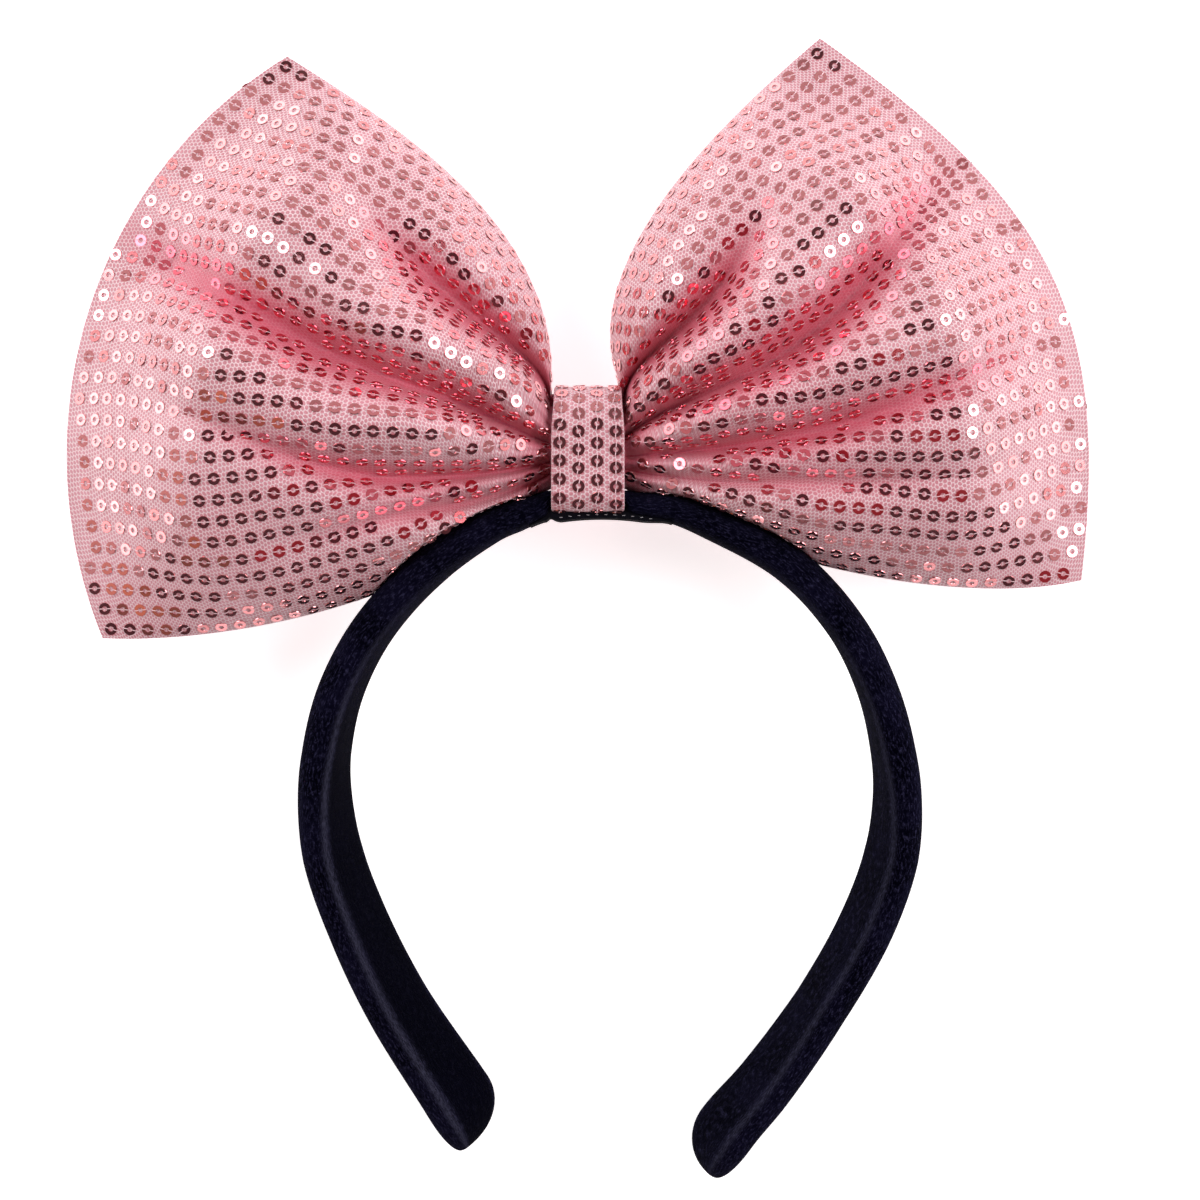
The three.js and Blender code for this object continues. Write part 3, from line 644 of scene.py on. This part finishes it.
def build_bow(material):
    along = np.sin(np.pi / 2 * np.linspace(0, 1, LOBE_ALONG + 1))
    turn = np.linspace(0, np.pi, LOBE_ACROSS + 1)
    across = (1 - np.cos(turn + LOBE_CROWDING * np.sin(2 * turn))) / 2
    # Painted shade next to the knot, added to the fold values that tint the satin crimson
    painted_knot_shade = (KNOT_PAINTED_SHADE * (1 - smooth_step(along / KNOT_SHADE_REACH)))[:, None]
    points, faces, uvs, folds, creases, starts = [], [], [], [], [], []
    for side in ("right", "left"):
        front, front_fold, front_crease = lobe_skin(side, True, along, across)
        back, back_fold, back_crease = lobe_skin(side, False, along, across)
        starts.append(sum(len(part) for part in points))
        points.append(around_lobe(front, back))
        folds.append(around_lobe(front_fold + painted_knot_shade, back_fold + painted_knot_shade))
        creases.append(around_lobe(front_crease, back_crease))
        lobe = lobe_faces(side, starts[-1], cloth_plan(front), cloth_plan(back))
        faces += lobe[0]
        uvs += lobe[1]
    right, left = starts
    for j in range(2 * LOBE_ACROSS):
        k = (j + 1) % (2 * LOBE_ACROSS)
        faces.append([right + j, right + k, left + k, left + j])
        uvs += [(0, 0)] * 4
    uv = np.array(uvs) * MM
    piece = make_mesh("bow_satin", np.concatenate(points), faces, material, uv=uv)
    add_values(piece, "POINT", fold=np.concatenate(folds), crease=np.concatenate(creases))
    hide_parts("bow")


# Sequins

def ring_solid():
    """One sequin about the origin, facing +Z."""
    angles = 2 * np.pi * np.arange(SEQUIN["sides"]) / SEQUIN["sides"]
    profile = [
        (SEQUIN["radius"], 0), (SEQUIN["radius"] - SEQUIN["bevel"], SEQUIN["height"]),
        (SEQUIN["hole"] + SEQUIN["bevel"], SEQUIN["height"]), (SEQUIN["hole"], 0),
    ]
    points = [(r * math.cos(a), r * math.sin(a), h) for a in angles for r, h in profile]
    return np.array(points), ring_faces(len(angles), len(profile), closed=True)


def thread_solid():
    """The thread over both sides of a sequin, along X."""
    half, top, low = THREAD["width"] / 2, SEQUIN["height"] + THREAD["height"], -THREAD["sunk"]
    path = [
        (SEQUIN["hole"] * THREAD["in_hole"], low), (SEQUIN["hole"] + THREAD["off_hole"], top),
        (SEQUIN["radius"] - THREAD["off_rim"], top), (SEQUIN["radius"] + THREAD["beyond"], low),
    ]
    last = 3 * (len(path) - 1)
    tube = [*ring_faces(len(path), 3), (0, 1, 2), (last, last + 2, last + 1)]
    points, faces = [], []
    for sign in (-1, 1):
        start = len(points)
        for x, z in path:
            edge = z - THREAD["height"]
            points += [(sign * x, -half, edge), (sign * x, 0, z), (sign * x, half, edge)]
        faces += shifted([face[::-sign] for face in tube], start)
    return np.array(points), faces


def sow(name, solid, places, material, **face_values):
    """Copies of one small solid at many places, joined in one mesh. A place is a centre and three axes."""
    points, faces = solid
    centres, *axes = places
    cloud = centres[:, None] + sum(points[None, :, k : k + 1] * axes[k][:, None] for k in range(3))
    all_faces = [face for i in range(len(centres)) for face in shifted(faces, i * len(points))]
    piece = make_mesh(name, cloud.reshape(-1, 3), all_faces, material, smooth=False)
    add_values(piece, "FACE", **{value: np.repeat(given, len(faces)) for value, given in face_values.items()})


def cloth_lengths(points, depth):
    """Length of cloth across each place along a lobe, with the slack of all rows gathered in its folds."""
    runs = np.linalg.norm(np.diff(points, axis=1), axis=2)
    total = ROWS * ROW_PITCH
    in_fold = np.clip((depth[:, 1:] + depth[:, :-1]) / 2, 1e-4, None) ** 2
    spare = np.maximum(0, total - runs.sum(1, keepdims=True))
    weights = in_fold / in_fold.sum(1, keepdims=True)
    cloth = np.concatenate([np.zeros((len(points), 1)), np.cumsum(runs + spare * weights, 1)], 1)
    return cloth * (total / cloth[:, -1:])


def read_row(grids, cloth, target):
    """Values of some grids along the row at a length of cloth, from the lobe's end to the knot."""
    count = cloth.shape[1]
    places = np.array([np.interp(target, lengths, np.arange(count)) for lengths in cloth])
    low = np.clip(places.astype(int), 0, count - 2)
    share = (places - low)[:, None]
    steps = np.arange(len(cloth))
    return [lerp(grid[steps, low], grid[steps, low + 1], share)[::-1] for grid in grids]


def read_line(values, lengths, stops):
    return np.stack([np.interp(stops, lengths, column) for column in values.T], -1)


def lobe_sequins(side, front, random):
    """Fold depths, centres, row directions and normals of the sequins on one face of a lobe."""
    along = np.linspace(0, 1, ROW_GRID[0])
    across = (1 - np.cos(np.linspace(0, np.pi, ROW_GRID[1]))) / 2
    points, depth, _ = lobe_skin(side, front, along, across)
    normals = unit(np.cross(np.gradient(points, axis=0), np.gradient(points, axis=1)))
    in_middle = normals[60:200, 100:300, 2]
    if np.mean(in_middle) * (1 if front else -1) < 0:
        normals = -normals
    cloth = cloth_lengths(points, depth)
    found = []
    phase = FIRST_ROW
    for row in range(ROWS):
        line, line_normals, line_depth = read_row(
            (points, normals, depth[..., None]), cloth, (row + 0.5) * ROW_PITCH
        )
        lengths = arc_lengths(line)
        phase = ROW_START + (phase - ROW_START + random.normal(*ROW_DRIFT)) % SEQUIN_PITCH
        stops = np.arange(phase, lengths[-1] - ROW_END, SEQUIN_PITCH)
        stops = stops + random.normal(0, SEQUIN_JITTER, len(stops))
        centres = read_line(line, lengths, stops)
        ahead = read_line(line, lengths, stops + 0.5)
        upright = unit(read_line(unit(line_normals), lengths, stops))
        hidden = read_line(line_depth, lengths, stops)[:, 0]
        found += zip(hidden, centres, unit(ahead - centres), upright)
    return found


def lowest_point(item):
    """Height of the lower rim of a sequin on the back of the bow."""
    _, centre, _, normal = item
    slant = math.sqrt(max(0.0, 1 - normal[2] ** 2))
    return centre[2] - SEQUIN["radius"] * slant + min(0.0, normal[2]) * (SEQUIN["height"] + THREAD["height"])


def keep_apart(found, spacing):
    """Drops the sequins that would lie on others, those deepest in a fold first."""
    grid, kept = {}, []
    for item in sorted(found, key=lambda item: item[0]):
        centre = item[1]
        cell = np.floor(centre / spacing).astype(int)
        near = [
            other for step in np.ndindex(3, 3, 3) for other in grid.get(tuple(cell + np.array(step) - 1), ())
        ]
        if all(np.sum((other - centre) ** 2) >= spacing**2 for other in near):
            grid.setdefault(tuple(cell), []).append(centre)
            kept.append(item)
    return kept


def on_open_cloth(found, points):
    """Drops the sequins that the cloth beside them would cover."""
    cloud = points.reshape(-1, 3)
    tree = KDTree(len(cloud))
    for i, point in enumerate(cloud):
        tree.insert(point, i)
    tree.balance()
    kept = []
    for item in found:
        near = [i for _, i, _ in tree.find_range(item[1], SEQUIN["radius"] * COVER_REACH)]
        above = ((cloud[near] - item[1]) @ item[3]).max() if near else 0
        if above < SEQUIN_COVER:
            kept.append(item)
    return kept


def sequin_places(found, random):
    """Frames of sequins that lie on the cloth, each tilted a little."""
    _, centres, rows, normals = map(np.array, zip(*found))
    tilt = np.tan(np.radians(random.normal(0, SEQUIN_TILT, (len(found), 2))))
    sideways = unit(np.cross(normals, rows))
    z_axes = unit(normals + rows * tilt[:, :1] + sideways * tilt[:, 1:])
    x_axes = unit(rows - z_axes * np.sum(rows * z_axes, 1, keepdims=True))
    turn = np.radians(random.normal(0, THREAD_TURN, (len(found), 1)))
    x_axes = x_axes * np.cos(turn) + np.cross(z_axes, x_axes) * np.sin(turn)
    y_axes = np.cross(z_axes, x_axes)
    return centres + z_axes * SEQUIN["lift"], x_axes, y_axes, z_axes


def build_sequins(name, found, random, sequin_material, thread_material):
    places = sequin_places(found, random)
    fold = np.array([item[0] for item in found])
    sow(name, ring_solid(), places, sequin_material, tone=random.uniform(0, 1, len(found)), fold=fold)
    sow(name + "_threads", thread_solid(), places, thread_material)


def build_lobe_sequins(sequin_material, thread_material):
    random = np.random.default_rng(SEEDS["lobe_sequins"])
    cover_steps = [np.linspace(0, 1, count) for count in COVER_GRID]
    for side in ("left", "right"):
        for front in (True, False):
            found = lobe_sequins(side, front, random)
            found = [item for item in found if lowest_point(item) > SEQUIN_GAP]
            found = on_open_cloth(found, lobe_skin(side, front, *cover_steps)[0])
            found = keep_apart(found, 2 * SEQUIN["radius"] + SEQUIN_GAP)
            face = "front" if front else "back"
            build_sequins(f"{side}_{face}_sequins", found, random, sequin_material, thread_material)


# Knot's wrap

def loop_outline(offset):
    """Closed outline of the loop, seen from the side, as z and y, with its length at each point."""
    half, top_r, low_r = WRAP_DEPTH / 2, WRAP["top_radius"], WRAP["bottom_radius"]
    corners = [
        (-1, WRAP_TOP - top_r, top_r, 180), (1, WRAP_TOP - top_r, top_r, 90),
        (1, WRAP_BOTTOM + low_r, low_r, 0), (-1, WRAP_BOTTOM + low_r, low_r, -90),
    ]
    points = [(-half - offset, (WRAP_TOP + WRAP_BOTTOM) / 2)]
    for side, y, radius, start in corners:
        angles = np.radians(start - np.linspace(0, 90, LOOP_CORNER))
        x = side * (half - radius)
        points += [(x + (radius + offset) * math.cos(a), y + (radius + offset) * math.sin(a)) for a in angles]
    points.append(points[0])
    return np.array(points), arc_lengths(np.array(points))


def wrap_width(y):
    narrowing = smooth_step((y - WAIST["rise"]) / (WAIST_TOP - WAIST["rise"]))
    return lerp(WRAP["width"], WRAP["top_width"], narrowing)


def wrap_point(share, across, offset):
    points, lengths = loop_outline(offset)
    z = np.interp(share * lengths[-1], lengths, points[:, 0])
    y = np.interp(share * lengths[-1], lengths, points[:, 1])
    lowered = y - WRAP_SAG["depth"] * smooth_step((WRAP_BOTTOM + WRAP_SAG["start"] - y) / WRAP_SAG["run"])
    return np.stack([across * wrap_width(y), lowered, BOW["rest_height"] + z], -1)


def wrap_section():
    """The cloth's section as places across, in shares of its width, and heights off the solid loop."""
    wall, edge = WRAP["wall"], WRAP["edge_round"]
    turns = np.linspace(-np.pi / 2, np.pi / 2, WRAP_EDGE)
    places = np.linspace(-0.93, 0.93, WRAP_FACE)
    outer = [(0.5 * x, wall + WRAP_BULGE * math.cos(np.pi * x)) for x in places]
    right = [(0.5 - (edge - edge * math.cos(a)) / WRAP["width"], wall / 2 * (1 - math.sin(a))) for a in turns]
    left = [(-x, h) for x, h in right[::-1]]
    inner = [(0.3, 0.0), (0.0, 0.0), (-0.3, 0.0)]
    return outer + right + inner + left


def build_wrap(material):
    section = wrap_section()
    shares = np.arange(LOOP_STEPS) / LOOP_STEPS
    grid = np.stack([wrap_point(shares, across, offset) for across, offset in section], 1)
    around = arc_lengths(np.array(section) * [WRAP["width"], 1])
    around = np.append(around, around[-1] + 0.5)
    n = len(section)
    step = loop_outline(WRAP["wall"])[1][-1] / LOOP_STEPS
    faces, uvs = [], []
    for i in range(LOOP_STEPS):
        k = (i + 1) % LOOP_STEPS
        for j in range(n):
            m = (j + 1) % n
            faces.append((i * n + j, i * n + m, k * n + m, k * n + j))
            for column, row in ((j, i), (j + 1, i), (j + 1, i + 1), (j, i + 1)):
                uvs.append((around[column], row * step))
    uv = np.array(uvs) * MM
    piece = make_mesh("knot_satin", grid.reshape(-1, 3), faces, material, uv=uv)
    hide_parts("knot_wrap")


def build_knot_sequins(sequin_material, thread_material):
    random = np.random.default_rng(SEEDS["knot_sequins"])
    length = loop_outline(WRAP["wall"])[1][-1]
    pitch = KNOT_SEQUINS["pitch"]
    found = []
    for column in range(KNOT_SEQUINS["columns"]):
        across = (column - (KNOT_SEQUINS["columns"] - 1) / 2) * KNOT_SEQUINS["column_pitch"] / WRAP["width"]
        phase = KNOT_SEQUINS["starts"][column % 2] * pitch
        for stop in np.arange(phase, length - pitch / 2, pitch):
            share = (stop + random.normal(0, KNOT_SEQUINS["jitter"])) / length
            centre = wrap_point(np.array(share), across, WRAP["wall"] + WRAP_BULGE)
            ahead = wrap_point(np.array(share + 0.003), across, WRAP["wall"] + WRAP_BULGE)
            row = unit(ahead - centre)
            normal = np.array([0.0, row[2], -row[1]])
            outwards = centre - np.array([0, WAIST["rise"], BOW["rest_height"]])
            if normal @ outwards < 0:
                normal = -normal
            found.append((0.0, centre, row, normal))
    build_sequins("knot_sequins", found, random, sequin_material, thread_material)


# Lining strip

def crown_underside():
    """Innermost places of the band round the crown, seen from the front, from left to right."""
    places = []
    for share in band.stations(BAND_STEP):
        centre, outward, ring = band.section(share, BAND_SIDES)
        if centre[1] > CROWN_MIDDLE - BAND["reach"] / 2:
            inwards = (ring[:, :2] - centre) @ outward
            places.append(ring[inwards.argmin(), :2])
    places = np.array(places)
    return places[places[:, 0].argsort()]


def strip_arc(x):
    """Depth of the strip's lower edge below the wrap."""
    return STRIP["thickness"] + (x - STRIP["shift"]) ** 2 / (2 * STRIP["radius"])


def build_strip(material):
    """The ribbon, tucked in between the wrap and the velvet."""
    underside = crown_underside()
    edge, bevel = STRIP["width"] / 2, STRIP["bevel"]
    rings = []
    for x in STRIP["shift"] + STRIP["length"] * np.linspace(-0.5, 0.5, STRIP["steps"] + 1):
        velvet = np.interp(x, underside[:, 0], underside[:, 1])
        from_middle = 2 * abs(x - STRIP["shift"]) / STRIP["length"]
        run_out = smooth_step((from_middle - STRIP_LEVEL) / (1 - STRIP_LEVEL))
        low = min(velvet, lerp(UNDER_WRAP - strip_arc(x), velvet, run_out)) - STRIP_PROUD * run_out
        top = UNDER_WRAP if abs(x) < WRAP["width"] / 2 else velvet + STRIP_TUCK
        section = [
            (top, -edge), (low + bevel, -edge), (low, bevel - edge),
            (low, edge - bevel), (low + bevel, edge), (top, edge),
        ]
        rings.append([(x, y, BOW["rest_height"] + z) for y, z in section])
    n = len(rings[0])
    last = (len(rings) - 1) * n
    faces = [*ring_faces(len(rings), n), range(n), range(last + n - 1, last - 1, -1)]
    piece = make_mesh("lining_ribbon", np.concatenate(rings), faces, material, smooth=False)
    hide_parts("lining_strip")


def build_stitches(material):
    """A row of white stitches along the strip's front edge."""
    front = BOW["rest_height"] + STRIP["width"] / 2
    half, wide = STITCH["length"] / 2, STITCH["width"] / 2
    corners = [(-half, -wide), (half, -wide), (half, wide), (-half, wide)]
    random = np.random.default_rng(SEEDS["stitches"])
    points, faces = [], []
    for x in np.arange(STITCH["first"], STITCH["last"], STITCH["pitch"]):
        y = UNDER_WRAP - STITCH["below"] - strip_arc(x) + STRIP["thickness"]
        turn = random.normal(0, STITCH["turn"])
        first = len(points)
        for height, size in ((-STITCH["sunk"], 1), (STITCH["height"], STITCH["taper"])):
            for dx, dy in corners:
                points.append((x + size * (dx - dy * turn), y + size * (dy + dx * turn), front + height))
        stitch = [(3, 2, 1, 0), (4, 5, 6, 7), *[face[::-1] for face in ring_faces(2, 4)]]
        faces += shifted(stitch, first)
    make_mesh("lining_stitches", points, faces, material)


# Materials

class Nodes:
    """Short ways to add nodes to a material's or the world's tree."""

    def __init__(self, tree):
        self.tree = tree

    def node(self, kind, inputs=None, **settings):
        made = self.tree.nodes.new(kind)
        for name, value in settings.items():
            setattr(made, name, value)
        for name, value in (inputs or {}).items():
            self.feed(made.inputs[name], value)
        return made

    def feed(self, socket, value):
        if isinstance(value, bpy.types.NodeSocket):
            self.tree.links.new(value, socket)
        else:
            socket.default_value = value

    def many(self, kind, values, **settings):
        """A node that is fed in the order of its sockets."""
        made = self.node(kind, **settings)
        for socket, value in zip(made.inputs, values):
            self.feed(socket, value)
        return made.outputs

    def math(self, operation, *values):
        return self.many("ShaderNodeMath", values, operation=operation)[0]

    def vector(self, operation, *values):
        return self.many("ShaderNodeVectorMath", values, operation=operation)

    def mix(self, share, first, second):
        inputs = {"Factor": share, "A": first, "B": second}
        return self.node("ShaderNodeMix", data_type="RGBA", inputs=inputs).outputs["Result"]

    def range(self, value, low, high, to_low=0.0, to_high=1.0):
        inputs = {"Value": value, "From Min": low, "From Max": high, "To Min": to_low, "To Max": to_high}
        made = self.node("ShaderNodeMapRange", inputs, interpolation_type="SMOOTHSTEP")
        return made.outputs["Result"]


class Shader(Nodes):
    """A new material of one shader."""

    def __init__(self, name, **values):
        self.material = bpy.data.materials.new(name)
        self.material.use_nodes = True
        super().__init__(self.material.node_tree)
        self.surface = self.tree.nodes["Principled BSDF"]
        for value, given in values.items():
            self.surface.inputs[value.replace("_", " ")].default_value = given
        self.place = self.node("ShaderNodeTexCoord").outputs["Object"]

    def colour(self, value):
        self.feed(self.surface.inputs["Base Color"], value)

    def value(self, name):
        return self.node("ShaderNodeAttribute", attribute_name=name).outputs["Fac"]

    def cloth(self):
        return self.node("ShaderNodeUVMap", uv_map="cloth").outputs["UV"]

    def dot(self, vector, direction):
        return self.vector("DOT_PRODUCT", vector, direction)["Value"]

    def noise(self, vector, scale, detail=2.0, output="Fac"):
        inputs = {"Vector": vector, "Scale": scale, "Detail": detail}
        return self.node("ShaderNodeTexNoise", inputs).outputs[output]

    def bump(self, height, strength, distance):
        made = self.node("ShaderNodeBump", {"Height": height, "Strength": strength, "Distance": distance})
        self.feed(self.surface.inputs["Normal"], made.outputs["Normal"])


def satin_material():
    """Pink satin under a fine net of hexagons."""
    shader = Shader(
        "satin_under_net", Roughness=0.42, Sheen_Weight=0.25, Sheen_Roughness=0.4,
        Sheen_Tint=(1, 0.85, 0.88, 1), Specular_IOR_Level=0.5,
    )
    cloth = shader.cloth()
    slack = shader.noise(shader.place, 260.0, 1.0, "Color")
    netting = shader.vector("MULTIPLY_ADD", slack, (0.0011, 0.0011, 0.0), cloth)["Vector"]
    wave = 2 * math.pi / NET_PITCH
    ripples = []
    for angle in (0, 2 * math.pi / 3, 4 * math.pi / 3):
        direction = (math.cos(angle) * wave, math.sin(angle) * wave, 0)
        ripples.append(shader.math("COSINE", shader.dot(netting, direction)))
    waves = shader.math("ADD", shader.math("ADD", ripples[0], ripples[1]), ripples[2])
    net = shader.range(waves, -0.2, -1.1)
    twill = shader.math("SINE", shader.dot(cloth, (7000.0, 9500.0, 0)))
    patches = shader.range(shader.noise(shader.place, 35.0, 3.0), 0.35, 0.65)
    base = shader.mix(patches, SATIN["deep"], SATIN["light"])
    base = shader.mix(shader.range(twill, -1, 1, 0.0, 0.12), base, SATIN["twill"])
    base = shader.mix(shader.math("MULTIPLY", net, 0.85), base, SATIN["net"])
    # Painted shade: the folds and the cloth beside the knot are tinted crimson, and the creases darker still
    in_fold = shader.range(shader.value("fold"), 0.03, 0.34, 0.0, 0.85)
    painted_crease_shade = shader.range(shader.value("crease"), 0.35, 0.95, 0.0, 0.9)
    base = shader.mix(in_fold, base, SATIN["fold"])
    shader.colour(shader.mix(painted_crease_shade, base, SATIN["crease"]))
    shader.bump(shader.math("ADD", net, shader.math("MULTIPLY", twill, 0.3)), 0.6, 0.00012)
    return shader.material


def sequin_material():
    """Foil rings under clear pink plastic."""
    shader = Shader("pink_foil", Metallic=0.95, Roughness=0.1, Coat_Weight=0.8, Coat_Roughness=0.04)
    colour = shader.mix(shader.value("tone"), FOIL["deep"], FOIL["light"])
    # Painted reflection: sequins deep in a fold turn crimson, as if mirroring the shaded cloth
    in_fold = shader.range(shader.value("fold"), 0.02, 0.2, 0.0, 0.9)
    shader.colour(shader.mix(in_fold, colour, FOIL["fold"]))
    return shader.material


def thread_material():
    shader = Shader("sewing_thread", Roughness=0.55, Sheen_Weight=0.3)
    fibres = shader.noise(shader.place, 4000.0)
    shader.colour(shader.mix(fibres, COTTON["deep"], COTTON["light"]))
    return shader.material


def velvet_material():
    """Short-piled velvet, near black with a bluish sheen."""
    shader = Shader(
        "velvet", Roughness=0.9, Sheen_Weight=0.012, Sheen_Roughness=0.35,
        Sheen_Tint=(0.32, 0.33, 0.55, 1), Specular_IOR_Level=0.01,
    )
    drawn_out = shader.vector("MULTIPLY", shader.cloth(), (2.8, 1.0, 1.0))["Vector"]
    strokes = shader.noise(drawn_out, 700.0, 4.0)
    brushed = shader.range(shader.noise(shader.place, 90.0, 5.0), 0.38, 0.66)
    pile = shader.noise(shader.place, 2600.0, 2.0)
    dark = shader.mix(brushed, VELVET["dark"], VELVET["brushed"])
    lit = shader.math("MULTIPLY", shader.range(strokes, 0.44, 0.7), shader.range(pile, 0.3, 0.65))
    colour = shader.mix(lit, dark, VELVET["lit"])
    colour = shader.mix(shader.value("shade"), colour, VELVET["shade"])
    # Painted highlight: a light line of pile along the ridge of each arm
    painted_ridge_light = shader.math("MULTIPLY", shader.value("ridge"), shader.range(strokes, 0.3, 0.62, 0.25, 1.0))
    shader.colour(shader.mix(painted_ridge_light, colour, VELVET["ridge"]))
    shader.bump(shader.math("ADD", pile, shader.math("MULTIPLY", strokes, 1.5)), 0.9, 0.0006)
    return shader.material


def ribbon_material():
    shader = Shader("black_ribbon", Roughness=0.85, Specular_IOR_Level=0.03)
    warp = shader.math("SINE", shader.dot(shader.place, (12000.0, 0, 0)))
    weft = shader.math("SINE", shader.dot(shader.place, (0, 0, 12000.0)))
    weave = shader.math("MULTIPLY", warp, weft)
    shader.colour(shader.mix(shader.range(weave, -1, 1), RIBBON["dark"], RIBBON["light"]))
    shader.bump(weave, 0.4, 0.0001)
    return shader.material


def stitch_material():
    return Shader("white_stitches", Base_Color=(0.5, 0.5, 0.53, 1), Roughness=0.6, Sheen_Weight=0.2).material


def floor_material():
    """Pale paper with painted light: it glows, brightest under the object, and turns greyer away from it."""
    shader = Shader("pale_floor", Roughness=0.9, Emission_Strength=0.68)
    away = shader.range(shader.vector("LENGTH", shader.place)["Value"], 0.2, 0.6)
    shader.colour(shader.mix(away, (0.87, 0.87, 0.88, 1), (0.5, 0.5, 0.51, 1)))
    # Painted light: the floor's own glow, strongest under the object
    glow = shader.mix(away, (1, 1, 1, 1), (0.16, 0.16, 0.16, 1))
    shader.feed(shader.surface.inputs["Emission Color"], glow)
    return shader.material


# Studio

def build_floor():
    mesh = bpy.data.meshes.new("floor")
    half, below = 4.0, -0.0002
    corners = [(-half, -half, below), (half, -half, below), (half, half, below), (-half, half, below)]
    mesh.from_pydata(corners, [], [(0, 1, 2, 3)])
    mesh.materials.append(floor_material())
    add_object("floor", mesh)


def build_world():
    """Soft light all round, with low bright windows to the left and right, and dark above and in front."""
    world = bpy.data.worlds.new("studio")
    bpy.context.scene.world = world
    world.use_nodes = True
    sky = Nodes(world.node_tree)
    direction = sky.node("ShaderNodeTexCoord").outputs["Generated"]
    x, y, z = sky.node("ShaderNodeSeparateXYZ", {"Vector": direction}).outputs

    def above(low, high):
        """From 0 to 1 between two angles from straight above, in degrees."""
        return sky.range(z, math.cos(math.radians(low)), math.cos(math.radians(high)))

    def towards(east, north):
        return sky.math("ADD", sky.math("MULTIPLY", x, east), sky.math("MULTIPLY", y, north))

    beside = sky.range(sky.math("MAXIMUM", towards(-0.9, 0.42), towards(0.98, 0.2)), 0.58, 0.74)
    low_down = sky.math("MULTIPLY", above(94, 90), sky.math("SUBTRACT", 1.0, above(75, 71)))
    overhead = above(42, 37)
    sideways = sky.math("MULTIPLY", sky.math("ABSOLUTE", x), 0.45)
    southward = sky.range(sky.math("SUBTRACT", towards(0, -1), sideways), 0.02, 0.22)
    in_front = sky.math("MULTIPLY", southward, sky.range(z, -0.05, 0.08))
    levels = [
        (sky.math("MULTIPLY", low_down, beside), SKY["window"]),
        (sky.math("MAXIMUM", overhead, in_front), SKY["dark"]),
        (sky.math("MULTIPLY", overhead, sky.range(towards(1, -0.4), 0.12, 0.24)), SKY["crimson"]),
        (sky.math("MULTIPLY", sky.range(towards(-0.8, -0.6), 0.6, 0.9), above(75, 55)), SKY["warm"]),
    ]
    colour = SKY["plain"]
    for share, other in levels:
        colour = sky.mix(share, colour, other)
    sky.feed(world.node_tree.nodes["Background"].inputs["Color"], colour)


def build_lights():
    for name, (direction, power) in SOFTBOXES.items():
        light = bpy.data.lights.new(name, "AREA")
        light.shape = "RECTANGLE"
        light.size, light.size_y = SOFTBOX["width"], SOFTBOX["height"]
        light.energy = power
        lamp = add_object(name, light)
        aim = Vector(direction).normalized()
        lamp.location = aim * SOFTBOX["distance"]
        lamp.rotation_mode = "QUATERNION"
        lamp.rotation_quaternion = aim.to_track_quat("Z", "Y")


def build_camera():
    """Straight above, with the picture's middle where the photograph has it."""
    camera = bpy.data.cameras.new("camera")
    camera.lens = CAMERA["lens"]
    camera.sensor_width = CAMERA["sensor"]
    camera.clip_end = CAMERA["clip"]
    placed = add_object("camera", camera)
    placed.location = KNOT + MM * np.array([*CAMERA_AIM, BOW["rest_height"]]) + [0, 0, CAMERA["height"]]
    bpy.context.scene.camera = placed


satin = satin_material()
foil = sequin_material()
thread = thread_material()
build_camera()
build_world()
build_lights()
build_floor()
build_bow(satin)
build_lobe_sequins(foil, thread)
build_wrap(satin)
build_knot_sequins(foil, thread)
build_headband(velvet_material())
build_strip(ribbon_material())
build_stitches(stitch_material())
bpy.context.scene.view_settings.view_transform = "Standard"
